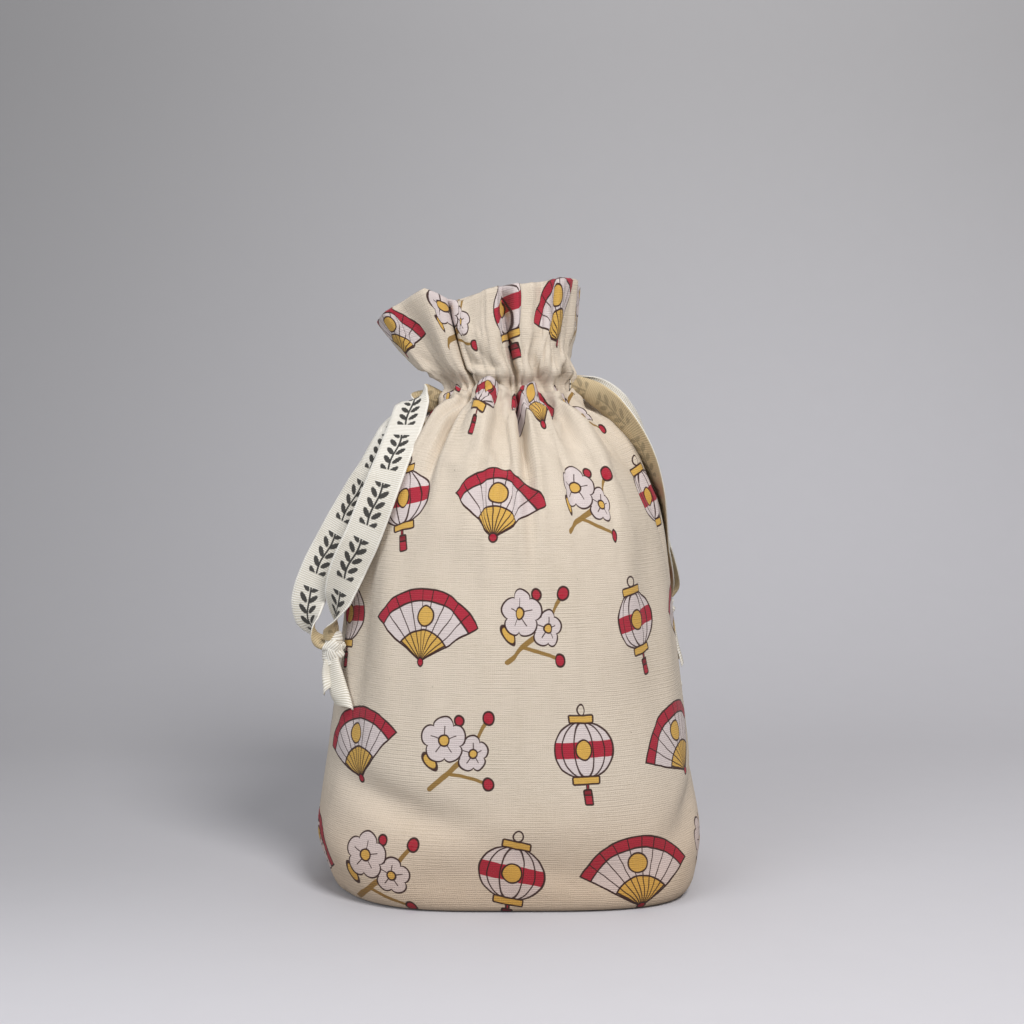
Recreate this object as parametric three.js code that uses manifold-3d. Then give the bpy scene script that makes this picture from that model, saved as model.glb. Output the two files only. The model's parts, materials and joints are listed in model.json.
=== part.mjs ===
// A kinchaku drawstring pouch of printed cotton canvas, filled and standing, drawn in round the neck.
// Two cloth panels are sewn along the sides and across the foot. Each panel's top is folded inwards and
// stitched down, which makes a double heading and, below it, a casing. Two grosgrain ribbons run right round
// in the casing: one leaves at the left side seam, the other at the right, and each has its ends knotted.
// Millimetres, +Z up, the front towards -Y, the origin on the table under the middle of the pouch.
import * as THREE from "three";
import { mergeVertices } from "three/addons/utils/BufferGeometryUtils.js";
import Module from "manifold-3d";

const wasm = await Module();
wasm.setup();

// Cloth
const clothThickness = 0.9;
const seamGap = 0.3;
const footSeamOpening = 0.1;

// Standing outline: half widths, half depths and heights of the outside of the pouch
const footHalfWidth = 69;
const footHalfDepth = 55;
const kerbHalfWidth = 76.5;
const kerbHalfDepth = 62.5;
const kerbHeight = 5.5;
const bellyHalfWidth = 80.5;
const bellyHalfDepth = 66;
const bellyHeight = 21;
const hipHalfWidth = 75.5;
const hipHalfDepth = 65;
const hipHeight = 61;
const waistHalfWidth = 69.5;
const waistHalfDepth = 62;
const waistHeight = 108;
const chestHalfWidth = 64.5;
const chestHalfDepth = 56;
const chestHeight = 150;
const shoulderHalfWidth = 56;
const shoulderHalfDepth = 46;
const shoulderHeight = 179;
const collarHalfWidth = 45;
const collarHalfDepth = 33.5;
const collarHeight = 190;
const neckHalfWidth = 33;
const neckHalfDepth = 21;
const neckHeight = 194;

// Ribbons, and the casing that holds both of them, each folded in half lengthwise, one above the other
const ribbonWidth = 15;
const ribbonThickness = 0.5;
const ribbonEase = 0.4;
const bandHeight = ribbonWidth / 2;
const bandThickness = 2 * ribbonThickness;
const tunnelHeight = 2 * bandHeight + 3 * ribbonEase;
const tunnelWidth = bandThickness + 2 * ribbonEase;
const casingHeight = tunnelHeight + 2 * clothThickness;
const tunnelDepth = 7.5;
const exitHalfLength = 5;

// Gathers: each ridge or furrow runs straight down the cloth. For each, from a panel's left seam to its right
// one, seen from the front: where across the panel, how far it sinks in at the neck, how far down the body it
// reaches, and where it ends at the folded top edge of the frill.
const leftSeam = { at: 0, sink: 1, reach: 10, mouth: [-55, 0, 233] };
const rightSeam = { at: 1, sink: 1, reach: 10, mouth: [30, 0, 249] };
const frontGathers = [
  leftSeam,
  { at: 0.1, sink: 0, reach: 12, mouth: [-50, -10, 237] },
  { at: 0.185, sink: 6, reach: 44, mouth: [-43, -11.5, 240.5] },
  { at: 0.25, sink: -0.5, reach: 12, mouth: [-33, -19, 245.5] },
  { at: 0.305, sink: 7.5, reach: 18, mouth: [-24, -3.5, 240.5] },
  { at: 0.43, sink: -1, reach: 16, mouth: [-9, -18.5, 246] },
  { at: 0.55, sink: 9, reach: 36, mouth: [1.5, -3.5, 248.5] },
  { at: 0.617, sink: -0.5, reach: 12, mouth: [9, -16, 249] },
  { at: 0.675, sink: 7, reach: 15, mouth: [15.5, -13.5, 249.5] },
  { at: 0.75, sink: -0.5, reach: 12, mouth: [22.5, -18, 250.5] },
  { at: 0.825, sink: 6.5, reach: 20, mouth: [28, -12.5, 250.5] },
  { at: 0.905, sink: 0, reach: 12, mouth: [32, -6.5, 250] },
  rightSeam,
];
const backGathers = [
  leftSeam,
  { at: 0.1, sink: 0, reach: 12, mouth: [-50, 11, 234.5] },
  { at: 0.18, sink: 6, reach: 22, mouth: [-42, 8, 236.5] },
  { at: 0.265, sink: -0.5, reach: 14, mouth: [-33, 20, 240] },
  { at: 0.345, sink: 8, reach: 40, mouth: [-22, 7, 242] },
  { at: 0.43, sink: -1, reach: 14, mouth: [-14, 21.5, 245] },
  { at: 0.5, sink: 7, reach: 20, mouth: [-6, 11, 246.5] },
  { at: 0.58, sink: -0.5, reach: 12, mouth: [2, 20, 249] },
  { at: 0.66, sink: 8, reach: 46, mouth: [11, 5.5, 248.5] },
  { at: 0.745, sink: -0.5, reach: 12, mouth: [20, 20.5, 249] },
  { at: 0.83, sink: 6.5, reach: 18, mouth: [26, 12, 248.5] },
  { at: 0.91, sink: 0, reach: 12, mouth: [33, 9, 248] },
  rightSeam,
];

// Mesh steps
const panelSteps = 60;
const headingSteps = 5;
const bandSteps = 24;
const outlineSamples = 240;

const half = clothThickness / 2;
const neckTop = neckHeight + casingHeight;

// Levels of the cloth's middle surface, from the foot seam to the top of the casing
const levels = [
  { a: footHalfWidth - 4, b: footSeamOpening, z: half, square: 2.9, skew: 0.35, steps: 1 },
  { a: footHalfWidth, b: footHalfDepth, z: half, square: 2.9, skew: 0.35, steps: 2 },
  { a: kerbHalfWidth - half, b: kerbHalfDepth - half, z: kerbHeight, square: 2.8, skew: 0.3, steps: 2 },
  { a: bellyHalfWidth - half, b: bellyHalfDepth - half, z: bellyHeight, square: 2.7, skew: 0.3, steps: 1 },
  { a: hipHalfWidth - half, b: hipHalfDepth - half, z: hipHeight, square: 2.4, skew: 0.1, steps: 1 },
  { a: waistHalfWidth - half, b: waistHalfDepth - half, z: waistHeight, square: 2.3, skew: 0, steps: 2 },
  { a: chestHalfWidth - half, b: chestHalfDepth - half, z: chestHeight, square: 2.2, skew: 0, steps: 2 },
  { a: shoulderHalfWidth - half, b: shoulderHalfDepth - half, z: shoulderHeight, square: 2.1, skew: 0, steps: 2 },
  { a: collarHalfWidth - half, b: collarHalfDepth - half, z: collarHeight, square: 2, skew: 0, steps: 2 },
  { a: neckHalfWidth - half, b: neckHalfDepth - half, z: neckHeight, square: 2, skew: 0, steps: 1 },
  { a: neckHalfWidth - half, b: neckHalfDepth - half, z: neckTop, square: 2, skew: 0, steps: 0 },
];
const casingLevel = levels.length - 2;
const headingLevel = levels.length - 1;
const topLevel = headingLevel + 1;
const stitchStep = 0.06;
const casingBlend = 0.3;

// A monotone cubic through the levels' values of one key, so that nothing overshoots
function levelValue(key, t) {
  const value = (i) => levels[i][key] ?? 0;
  const rise = (i) => value(i + 1) - value(i);
  const slope = (i) => {
    if (i === 0) return rise(0);
    if (i === headingLevel) return rise(headingLevel - 1);
    const before = rise(i - 1);
    const after = rise(i);
    return before * after <= 0 ? 0 : (2 * before * after) / (before + after);
  };
  const i = Math.min(Math.floor(t), headingLevel - 1);
  const f = t - i;
  const start = (1 + 2 * f) * (1 - f) ** 2 * value(i) + f * (1 - f) ** 2 * slope(i);
  return start + f * f * (3 - 2 * f) * value(i + 1) - f * f * (1 - f) * slope(i + 1);
}

// The outline at a level, from the left side seam over the front (side -1) or the back (side 1) to the right
// one, sampled evenly by angle with the distance run so far
const outlines = new Map();
function outline(t) {
  if (outlines.has(t)) return outlines.get(t);
  const [a, b, square, skew] = ["a", "b", "square", "skew"].map((key) => levelValue(key, t));
  const points = [];
  let run = 0;
  for (let i = 0; i <= outlineSamples; i++) {
    const angle = Math.PI * (1 - i / outlineSamples);
    const power = 2 / (square + skew * Math.cos(angle));
    const x = a * Math.sign(Math.cos(angle)) * Math.abs(Math.cos(angle)) ** power;
    const y = i % outlineSamples === 0 ? 0 : b * Math.sin(angle) ** power;
    if (i > 0) run += Math.hypot(x - points[i - 1].x, y - points[i - 1].y);
    points.push({ x, y, run });
  }
  outlines.set(t, points);
  return points;
}

// A point of the cloth's middle surface before gathering: u from 0 at the left seam to 1 at the right
function smoothPoint(side, u, t) {
  const points = outline(t);
  const wanted = THREE.MathUtils.clamp(u, 0, 1) * points[outlineSamples].run;
  let i = 1;
  while (i < outlineSamples && points[i].run < wanted) i++;
  const before = points[i - 1];
  const after = points[i];
  const f = (wanted - before.run) / (after.run - before.run);
  const x = THREE.MathUtils.lerp(before.x, after.x, f);
  const y = THREE.MathUtils.lerp(before.y, after.y, f);
  return new THREE.Vector3(x, side * y, levelValue("z", t));
}

// The outward normal of that surface
function smoothNormal(side, u, t) {
  const du = 0.004;
  const dt = 0.02;
  const across = smoothPoint(side, Math.min(u + du, 1), t).sub(smoothPoint(side, Math.max(u - du, 0), t));
  if (u < du || u > 1 - du) across.set(0, u < 0.5 ? side : -side, 0);
  const up = smoothPoint(side, u, Math.min(t + dt, headingLevel)).sub(smoothPoint(side, u, Math.max(t - dt, 0)));
  const normal = across.cross(up).multiplyScalar(-side);
  return (t <= 1 ? new THREE.Vector3(0, 0, -1) : normal).normalize();
}

// The ridge or furrow to the left of a place across a panel, and how far on towards the next one it is
const gathersOf = (side) => (side < 0 ? frontGathers : backGathers);
function gatherAt(side, u) {
  const gathers = gathersOf(side);
  const next = Math.max(1, gathers.findIndex((gather) => gather.at >= u));
  return { k: next - 1, f: (u - gathers[next - 1].at) / (gathers[next].at - gathers[next - 1].at) };
}

// How far the gathers sink the cloth in, between the neck and the foot
function gatherDepth(side, u, t) {
  const { k, f } = gatherAt(side, u);
  const below = Math.max(0, neckHeight - levelValue("z", Math.min(t, headingLevel)));
  const sunk = (gather) => gather.sink * Math.exp(-((below / gather.reach) ** 1.4));
  return THREE.MathUtils.lerp(sunk(gathersOf(side)[k]), sunk(gathersOf(side)[k + 1]), (1 - Math.cos(Math.PI * f)) / 2);
}

// The folded top edge of the frill runs in one closed curve through the ends of all the gathers
const rim = [...frontGathers, ...backGathers.slice(1, -1).reverse()];
const rimCurve = new THREE.CatmullRomCurve3(rim.map((gather) => new THREE.Vector3(...gather.mouth)), true, "centripetal");
function rimPoint(side, u) {
  const { k, f } = gatherAt(side, u);
  const place = side < 0 ? k + f : rim.length - k - f;
  return rimCurve.getPoint((place / rim.length) % 1);
}

// A point of the cloth's middle surface, gathered. The frill rises from the casing and opens out to its rim.
function clothPoint(side, u, t) {
  const low = Math.min(t, headingLevel);
  const point = smoothPoint(side, u, low).addScaledVector(smoothNormal(side, u, low), -gatherDepth(side, u, low));
  if (t <= headingLevel) return point;
  const up = Math.min(t, topLevel) - headingLevel;
  const top = rimPoint(side, u);
  const out = up ** 0.85;
  return new THREE.Vector3(
    THREE.MathUtils.lerp(point.x, top.x, out),
    THREE.MathUtils.lerp(point.y, top.y, out),
    THREE.MathUtils.lerp(point.z, top.z, up),
  );
}
function clothNormal(side, u, t) {
  if (t <= headingLevel) return smoothNormal(side, u, t);
  const du = 0.01;
  const ends = [u - du, u + du].map((v) => {
    if (v < 0) return clothPoint(-side, -v, t);
    if (v > 1) return clothPoint(-side, 2 - v, t);
    return clothPoint(side, v, t);
  });
  const up = clothPoint(side, u, t + 0.02).sub(clothPoint(side, u, t - 0.02));
  const normal = ends[1].sub(ends[0]).cross(up).multiplyScalar(-side).normalize();
  const share = THREE.MathUtils.smoothstep(t, headingLevel, headingLevel + 0.4);
  return normal.lerp(smoothNormal(side, u, headingLevel), 1 - share).normalize();
}

// Offsets of the cloth's outer and inner faces from that surface. The folded hem doubles the frill and the
// casing, and in the casing its two layers stand apart by the ribbons' tunnel.
function clothFaces(side, u, t) {
  const hemmed = t >= casingLevel;
  const faces = { outer: half, inner: -half - (hemmed ? clothThickness : 0) };
  if (t > headingLevel + casingBlend) return faces;
  const opened = THREE.MathUtils.smoothstep(t, casingLevel - casingBlend, casingLevel)
    * (1 - THREE.MathUtils.smoothstep(t, headingLevel, headingLevel + casingBlend));
  const deep = gatherDepth(side, u, t) - tunnelDepth;
  const outside = Math.max(faces.outer, tunnelWidth / 2 + clothThickness + deep);
  const inside = Math.min(faces.inner, -tunnelWidth / 2 - clothThickness + deep);
  faces.outer = THREE.MathUtils.lerp(faces.outer, outside, opened);
  if (hemmed) faces.inner = THREE.MathUtils.lerp(faces.inner, inside, opened);
  return faces;
}

// A closed ring-shaped shell between two offsets of a surface, through the given level values
function ringShell(rows, steps, surface, normal, faces) {
  const columns = [];
  for (let i = 0; i < steps; i++) columns.push({ side: -1, u: i / steps });
  for (let i = steps; i > 0; i--) columns.push({ side: 1, u: i / steps });
  const positions = [];
  const corner = (row, column, face) => ((face * rows.length + row) * columns.length + column) * 3;
  for (const face of ["outer", "inner"]) {
    for (const t of rows) {
      for (const { side, u } of columns) {
        const point = surface(side, u, t).addScaledVector(normal(side, u, t), faces(side, u, t)[face]);
        positions.push(point.x, point.y, Math.abs(point.z) < 1e-6 ? 0 : point.z);
      }
    }
  }
  const index = [];
  const quad = (p, q, r, s) => index.push(p / 3, q / 3, r / 3, p / 3, r / 3, s / 3);
  const last = rows.length - 1;
  for (let i = 0; i < columns.length; i++) {
    const j = (i + 1) % columns.length;
    for (let row = 0; row < last; row++) {
      quad(corner(row, i, 0), corner(row, j, 0), corner(row + 1, j, 0), corner(row + 1, i, 0));
      quad(corner(row, i, 1), corner(row + 1, i, 1), corner(row + 1, j, 1), corner(row, j, 1));
    }
    quad(corner(last, i, 0), corner(last, j, 0), corner(last, j, 1), corner(last, i, 1));
    quad(corner(0, i, 0), corner(0, i, 1), corner(0, j, 1), corner(0, j, 0));
  }
  const geometry = new THREE.BufferGeometry();
  geometry.setAttribute("position", new THREE.Float32BufferAttribute(positions, 3));
  geometry.setIndex(index);
  return geometry;
}

// Solids for joining and cutting, and geometry back from them
function solid(geometry) {
  const bare = geometry.clone();
  bare.deleteAttribute("normal");
  bare.deleteAttribute("uv");
  const merged = mergeVertices(bare, 1e-4);
  return new wasm.Manifold(new wasm.Mesh({
    numProp: 3,
    vertProperties: merged.attributes.position.array,
    triVerts: new Uint32Array(merged.index.array),
  }));
}
function geometryOf(made) {
  const mesh = made.getMesh();
  const geometry = new THREE.BufferGeometry();
  geometry.setAttribute("position", new THREE.BufferAttribute(mesh.vertProperties, 3));
  geometry.setIndex(new THREE.BufferAttribute(mesh.triVerts, 1));
  geometry.computeVertexNormals();
  return geometry;
}
function boxSolid(low, high) {
  const box = new THREE.Box3(new THREE.Vector3(...low), new THREE.Vector3(...high));
  const size = box.getSize(new THREE.Vector3());
  const geometry = new THREE.BoxGeometry(size.x, size.y, size.z);
  geometry.translate(...box.getCenter(new THREE.Vector3()).toArray());
  return solid(geometry);
}

// The rows of the whole shell, with a close pair at each stitch line
function shellRows() {
  const rows = [];
  for (let k = 0; k < headingLevel; k++) {
    for (let i = 0; i < levels[k].steps; i++) rows.push(k + i / levels[k].steps);
  }
  for (let i = 0; i <= headingSteps; i++) rows.push(headingLevel + i / headingSteps);
  return [...rows, casingLevel - stitchStep].sort((p, q) => p - q);
}

// The level value at a height inside the casing, whose sides are upright
function levelAt(z) {
  let [low, high] = [casingLevel, headingLevel];
  for (let i = 0; i < 40; i++) {
    const middle = (low + high) / 2;
    if (levelValue("z", middle) < z) low = middle;
    else high = middle;
  }
  return low;
}
function casingRing(zLow, zHigh, thickness) {
  const rows = [zLow, zHigh].map(levelAt);
  const faces = { outer: thickness / 2 - tunnelDepth, inner: -thickness / 2 - tunnelDepth };
  return solid(ringShell(rows, bandSteps, smoothPoint, smoothNormal, () => faces));
}

const reach = 2 * (bellyHalfWidth + bellyHalfDepth + neckTop);
const tunnelLow = neckHeight + clothThickness;
const tunnelHigh = tunnelLow + tunnelHeight;
const tunnelInside = neckHalfWidth - half - tunnelDepth - tunnelWidth / 2;

// The gap in the side seam where a ribbon comes out of the casing; side -1 is the left one
function exitCut(side, halfLength, zLow, zHigh) {
  const xs = [side * (tunnelInside + 0.1), side * reach].sort((p, q) => p - q);
  return boxSolid([xs[0], -halfLength, zLow], [xs[1], halfLength, zHigh]);
}

function clothPanels() {
  const tunnel = casingRing(tunnelLow, tunnelHigh, tunnelWidth);
  const whole = solid(ringShell(shellRows(), panelSteps, clothPoint, clothNormal, clothFaces))
    .subtract(tunnel)
    .subtract(exitCut(-1, exitHalfLength, tunnelLow, tunnelHigh))
    .subtract(exitCut(1, exitHalfLength, tunnelLow, tunnelHigh));
  return [-1, 1].map((side) => {
    const ys = [side * (seamGap / 2), side * reach].sort((p, q) => p - q);
    return whole.intersect(boxSolid([-reach, ys[0], -reach], [reach, ys[1], reach]));
  });
}

// A ribbon's stretch inside the casing, open at the seam where its ends come out
function ribbonBand(side, zLow) {
  const ring = casingRing(zLow, zLow + bandHeight, bandThickness);
  const gap = exitHalfLength - ribbonEase;
  return ring.subtract(exitCut(side, gap, tunnelLow - 1, tunnelHigh + 1));
}

// A flat ribbon swept through hand-laid points. Each point has its place, the direction of the ribbon's
// width there, and its width, which is less where the ribbon is still folded.
function sweptRibbon(route, steps) {
  const middle = new THREE.CatmullRomCurve3(route.map((p) => new THREE.Vector3(...p.at)), false, "centripetal");
  const across = new THREE.CatmullRomCurve3(route.map((p) => new THREE.Vector3(...p.across).normalize()));
  const widths = route.map((p) => p.width ?? ribbonWidth);
  const positions = [];
  for (let i = 0; i <= steps; i++) {
    const t = i / steps;
    const along = middle.getTangent(t);
    const wide = across.getPoint(t).projectOnPlane(along).normalize();
    const thin = along.clone().cross(wide);
    const place = t * (widths.length - 1);
    const k = Math.min(Math.floor(place), widths.length - 2);
    const width = THREE.MathUtils.lerp(widths[k], widths[k + 1], place - k) / 2;
    for (const [w, h] of [[-1, -1], [1, -1], [1, 1], [-1, 1]]) {
      const corner = middle.getPoint(t).addScaledVector(wide, w * width);
      positions.push(...corner.addScaledVector(thin, (h * ribbonThickness) / 2).toArray());
    }
  }
  const index = [0, 2, 1, 0, 3, 2];
  for (let i = 0; i < steps; i++) {
    for (let k = 0; k < 4; k++) {
      const [p, q] = [4 * i + k, 4 * i + ((k + 1) % 4)];
      if (k === 2) index.push(p, q, p + 4, q, q + 4, p + 4);
      else index.push(p, q + 4, p + 4, p, q, q + 4);
    }
  }
  const end = 4 * steps;
  index.push(end, end + 1, end + 2, end, end + 2, end + 3);
  const geometry = new THREE.BufferGeometry();
  geometry.setAttribute("position", new THREE.Float32BufferAttribute(positions, 3));
  geometry.setIndex(index);
  return geometry;
}

// The knot that ties a ribbon's two ends: a rounded lump with one turn of ribbon round it
function knot(centre, lean) {
  const lump = new THREE.SphereGeometry(1, 10, 8);
  lump.scale(4.6, 3.8, 5.6);
  const turn = new THREE.TorusGeometry(3.9, 1.7, 6, 14);
  turn.rotateX(Math.PI / 2);
  turn.rotateY(0.5);
  const made = solid(lump).add(solid(turn));
  const geometry = geometryOf(made);
  geometry.rotateY(lean);
  geometry.translate(...centre);
  return geometry;
}

const upperLane = tunnelHigh - ribbonEase - bandHeight / 2;
const lowerLane = tunnelLow + ribbonEase + bandHeight / 2;

// The left ribbon's free stretches, from the casing's seam gap to the knot, and its tails below
const exitX = tunnelInside + tunnelWidth / 2;
const bandEnd = exitHalfLength - ribbonEase - seamGap;
const exitWidth = bandHeight - ribbonEase;
const leftKnot = [-74, -28.5, 95.5];
const leftFront = [
  { at: [-exitX, -bandEnd, lowerLane], across: [0, 0, 1], width: exitWidth },
  { at: [-26.4, -2.4, lowerLane], across: [0, 0, 1], width: exitWidth },
  { at: [-30, -1.3, lowerLane], across: [0, 0, 1], width: exitWidth },
  { at: [-34.4, -3, 200.4], across: [0.1, 0.1, 1], width: 9 },
  { at: [-38, -8, 204.2], across: [0.6, 0.2, 0.75], width: 12 },
  { at: [-40.5, -16.5, 203], across: [0.9, 0.2, 0.35] },
  { at: [-43, -26, 195], across: [1, 0.1, 0.3] },
  { at: [-45.8, -33.5, 185], across: [1, 0, 0.25] },
  { at: [-51.6, -39.5, 162], across: [1, -0.15, 0.25] },
  { at: [-56.8, -40.5, 146], across: [1, -0.2, 0.3] },
  { at: [-62.4, -38.5, 133.5], across: [1, -0.25, 0.3] },
  { at: [-67, -35.5, 121.5], across: [1, -0.3, 0.25] },
  { at: [-70, -31.4, 111], across: [1, -0.3, 0.2], width: 13 },
  { at: [-72.6, -29.6, 104.6], across: [1, -0.3, 0.2], width: 7 },
  { at: [-73.4, -28.8, 101.6], across: [1, -0.3, 0], width: 5 },
];
const leftBack = [
  { at: [-exitX, bandEnd, lowerLane], across: [0, 0, 1], width: exitWidth },
  { at: [-26.4, 2.4, lowerLane], across: [0, 0, 1], width: exitWidth },
  { at: [-30, 1.3, lowerLane], across: [0, 0, 1], width: exitWidth },
  { at: [-34.6, 1.6, 199.8], across: [0.1, -0.1, 1], width: 9 },
  { at: [-39.5, 1.5, 197.6], across: [0.6, -0.2, 0.6], width: 11 },
  { at: [-44.6, -4.5, 193.4], across: [0.85, -0.4, 0.3], width: 14 },
  { at: [-49, -17, 186.6], across: [0.85, -0.5, 0.25] },
  { at: [-55, -24.4, 174], across: [0.85, -0.5, 0.25] },
  { at: [-61.7, -25.6, 160.5], across: [0.9, -0.45, 0.3] },
  { at: [-70.3, -25.6, 144.5], across: [0.95, -0.3, 0.4] },
  { at: [-77.2, -25.8, 131.5], across: [1, -0.25, 0.3] },
  { at: [-81.6, -26.2, 119], across: [1, -0.2, 0.1] },
  { at: [-82.4, -27, 108.5], across: [1, -0.15, -0.2], width: 13 },
  { at: [-81.4, -27.8, 102], across: [0.9, -0.1, -0.6], width: 7 },
  { at: [-79.2, -28.4, 99.2], across: [0.7, -0.1, -0.7], width: 4.5 },
];
const leftLongTail = [
  { at: [-73.6, -29.2, 89.6], across: [0.8, -0.6, 0], width: 4.5 },
  { at: [-72, -32, 83.5], across: [0.5, -0.85, 0], width: 9 },
  { at: [-70, -33.6, 77], across: [0.5, -0.85, 0.1], width: 11 },
  { at: [-68, -35.2, 70.5], across: [0.55, -0.8, 0.1], width: 12 },
];
const leftShortTail = [
  { at: [-76.4, -27.6, 90], across: [0.6, 0.8, 0], width: 3.5 },
  { at: [-77.6, -26.6, 84], across: [0.5, 0.85, 0], width: 7 },
  { at: [-79.6, -26.4, 77], across: [0.5, 0.85, 0], width: 9 },
];

// The right ribbon's free stretches
const rightKnot = [68.5, 35, 108.5];
const rightFront = [
  { at: [exitX, -bandEnd, upperLane], across: [0, 0, 1], width: exitWidth },
  { at: [26.4, -2.4, upperLane], across: [0, 0, 1], width: exitWidth },
  { at: [30, -1.3, upperLane], across: [0, 0, 1], width: exitWidth },
  { at: [34.4, -3, 206], across: [0, 0.2, 1], width: 8.5 },
  { at: [38.4, -6.8, 202.6], across: [0.3, 0.5, 0.8], width: 11 },
  { at: [43, -10.5, 196.5], across: [0.4, 0.8, 0.45], width: 13 },
  { at: [49, -13.5, 189.5], across: [0.4, 0.8, 0.45] },
  { at: [56.6, -12.5, 180.5], across: [0.4, 0.8, 0.45] },
  { at: [61.8, -7, 169], across: [0.25, 0.9, 0.3] },
  { at: [65.2, 1, 155], across: [0.05, 1, 0.1] },
  { at: [67, 10.5, 140], across: [-0.1, 1, 0.3] },
  { at: [68.4, 20, 127], across: [-0.3, 1, 0.4], width: 14 },
  { at: [68.6, 28.4, 118], across: [-0.4, 1, 0.4], width: 9 },
  { at: [68, 32.6, 114.9], across: [-0.4, 1, 0.4], width: 4.5 },
];
const rightBack = [
  { at: [exitX, bandEnd, upperLane], across: [0, 0, 1], width: exitWidth },
  { at: [26.4, 2.4, upperLane], across: [0, 0, 1], width: exitWidth },
  { at: [30, 1.3, upperLane], across: [0, 0, 1], width: exitWidth },
  { at: [36.4, 3.4, 205], across: [0.1, -0.2, 1], width: 10 },
  { at: [41.6, 5.4, 200.6], across: [0.3, -0.6, 0.7], width: 13 },
  { at: [46.6, 7.5, 195.4], across: [0.35, -0.75, 0.5] },
  { at: [52.6, 9, 188.6], across: [0.3, -0.85, 0.45] },
  { at: [57.8, 11, 179.5], across: [0.2, -0.9, 0.3] },
  { at: [62.4, 14.4, 168], across: [0.1, -1, 0.1] },
  { at: [66.6, 19.5, 154.5], across: [0, -1, -0.1] },
  { at: [69.4, 24.5, 140], across: [0.1, -1, -0.3] },
  { at: [72, 31, 126.5], across: [0.3, -1, -0.4], width: 13 },
  { at: [72.6, 35, 118.6], across: [0.4, -1, -0.3], width: 8 },
  { at: [71.2, 36.2, 114.4], across: [0.4, -1, -0.2], width: 4 },
];
const rightLongTail = [
  { at: [68.9, 35.2, 102.6], across: [-0.5, 0.9, 0], width: 4.5 },
  { at: [70, 37.4, 94], across: [-0.5, 0.9, 0], width: 9 },
  { at: [72.6, 39, 82], across: [-0.55, 0.9, 0.1], width: 12 },
  { at: [75.4, 40, 70], across: [-0.6, 0.9, 0.1], width: 13 },
];
const rightShortTail = [
  { at: [71.5, 32.8, 103.4], across: [-0.4, 0.9, 0], width: 3 },
  { at: [73, 28.4, 95.5], across: [-0.3, 0.9, 0.1], width: 7 },
  { at: [75.6, 26, 86], across: [-0.2, 0.9, 0.15], width: 10 },
];

// Materials
const canvas = new THREE.MeshStandardMaterial({ color: "#e9e0cf", roughness: 0.92, metalness: 0 });
const grosgrain = new THREE.MeshStandardMaterial({ color: "#ece6d2", roughness: 0.7, metalness: 0 });

const pouch = new THREE.Group();
function addPiece(name, geometry, material) {
  const mesh = new THREE.Mesh(geometry, material);
  mesh.name = name;
  pouch.add(mesh);
}

const [front, back] = clothPanels();
addPiece("front_panel", geometryOf(front), canvas);
addPiece("back_panel", geometryOf(back), canvas);
addPiece("left_drawstring_band", geometryOf(ribbonBand(-1, lowerLane - bandHeight / 2)), grosgrain);
addPiece("right_drawstring_band", geometryOf(ribbonBand(1, upperLane - bandHeight / 2)), grosgrain);
addPiece("left_drawstring_front_strand", sweptRibbon(leftFront, 33), grosgrain);
addPiece("left_drawstring_back_strand", sweptRibbon(leftBack, 27), grosgrain);
addPiece("left_drawstring_knot", knot(leftKnot, 0.1), grosgrain);
addPiece("left_drawstring_long_tail", sweptRibbon(leftLongTail, 8), grosgrain);
addPiece("left_drawstring_short_tail", sweptRibbon(leftShortTail, 6), grosgrain);
addPiece("right_drawstring_front_strand", sweptRibbon(rightFront, 30), grosgrain);
addPiece("right_drawstring_back_strand", sweptRibbon(rightBack, 30), grosgrain);
addPiece("right_drawstring_knot", knot(rightKnot, -0.2), grosgrain);
addPiece("right_drawstring_long_tail", sweptRibbon(rightLongTail, 8), grosgrain);
addPiece("right_drawstring_short_tail", sweptRibbon(rightShortTail, 6), grosgrain);

export default pouch;
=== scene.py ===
"""A kinchaku drawstring pouch: printed canvas gathered at the neck by two knotted grosgrain drawstrings.

Laid out as a Blender add-on. Metres, +Z up, the front towards -Y, the origin on the table.
"""
import json
import math

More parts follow.
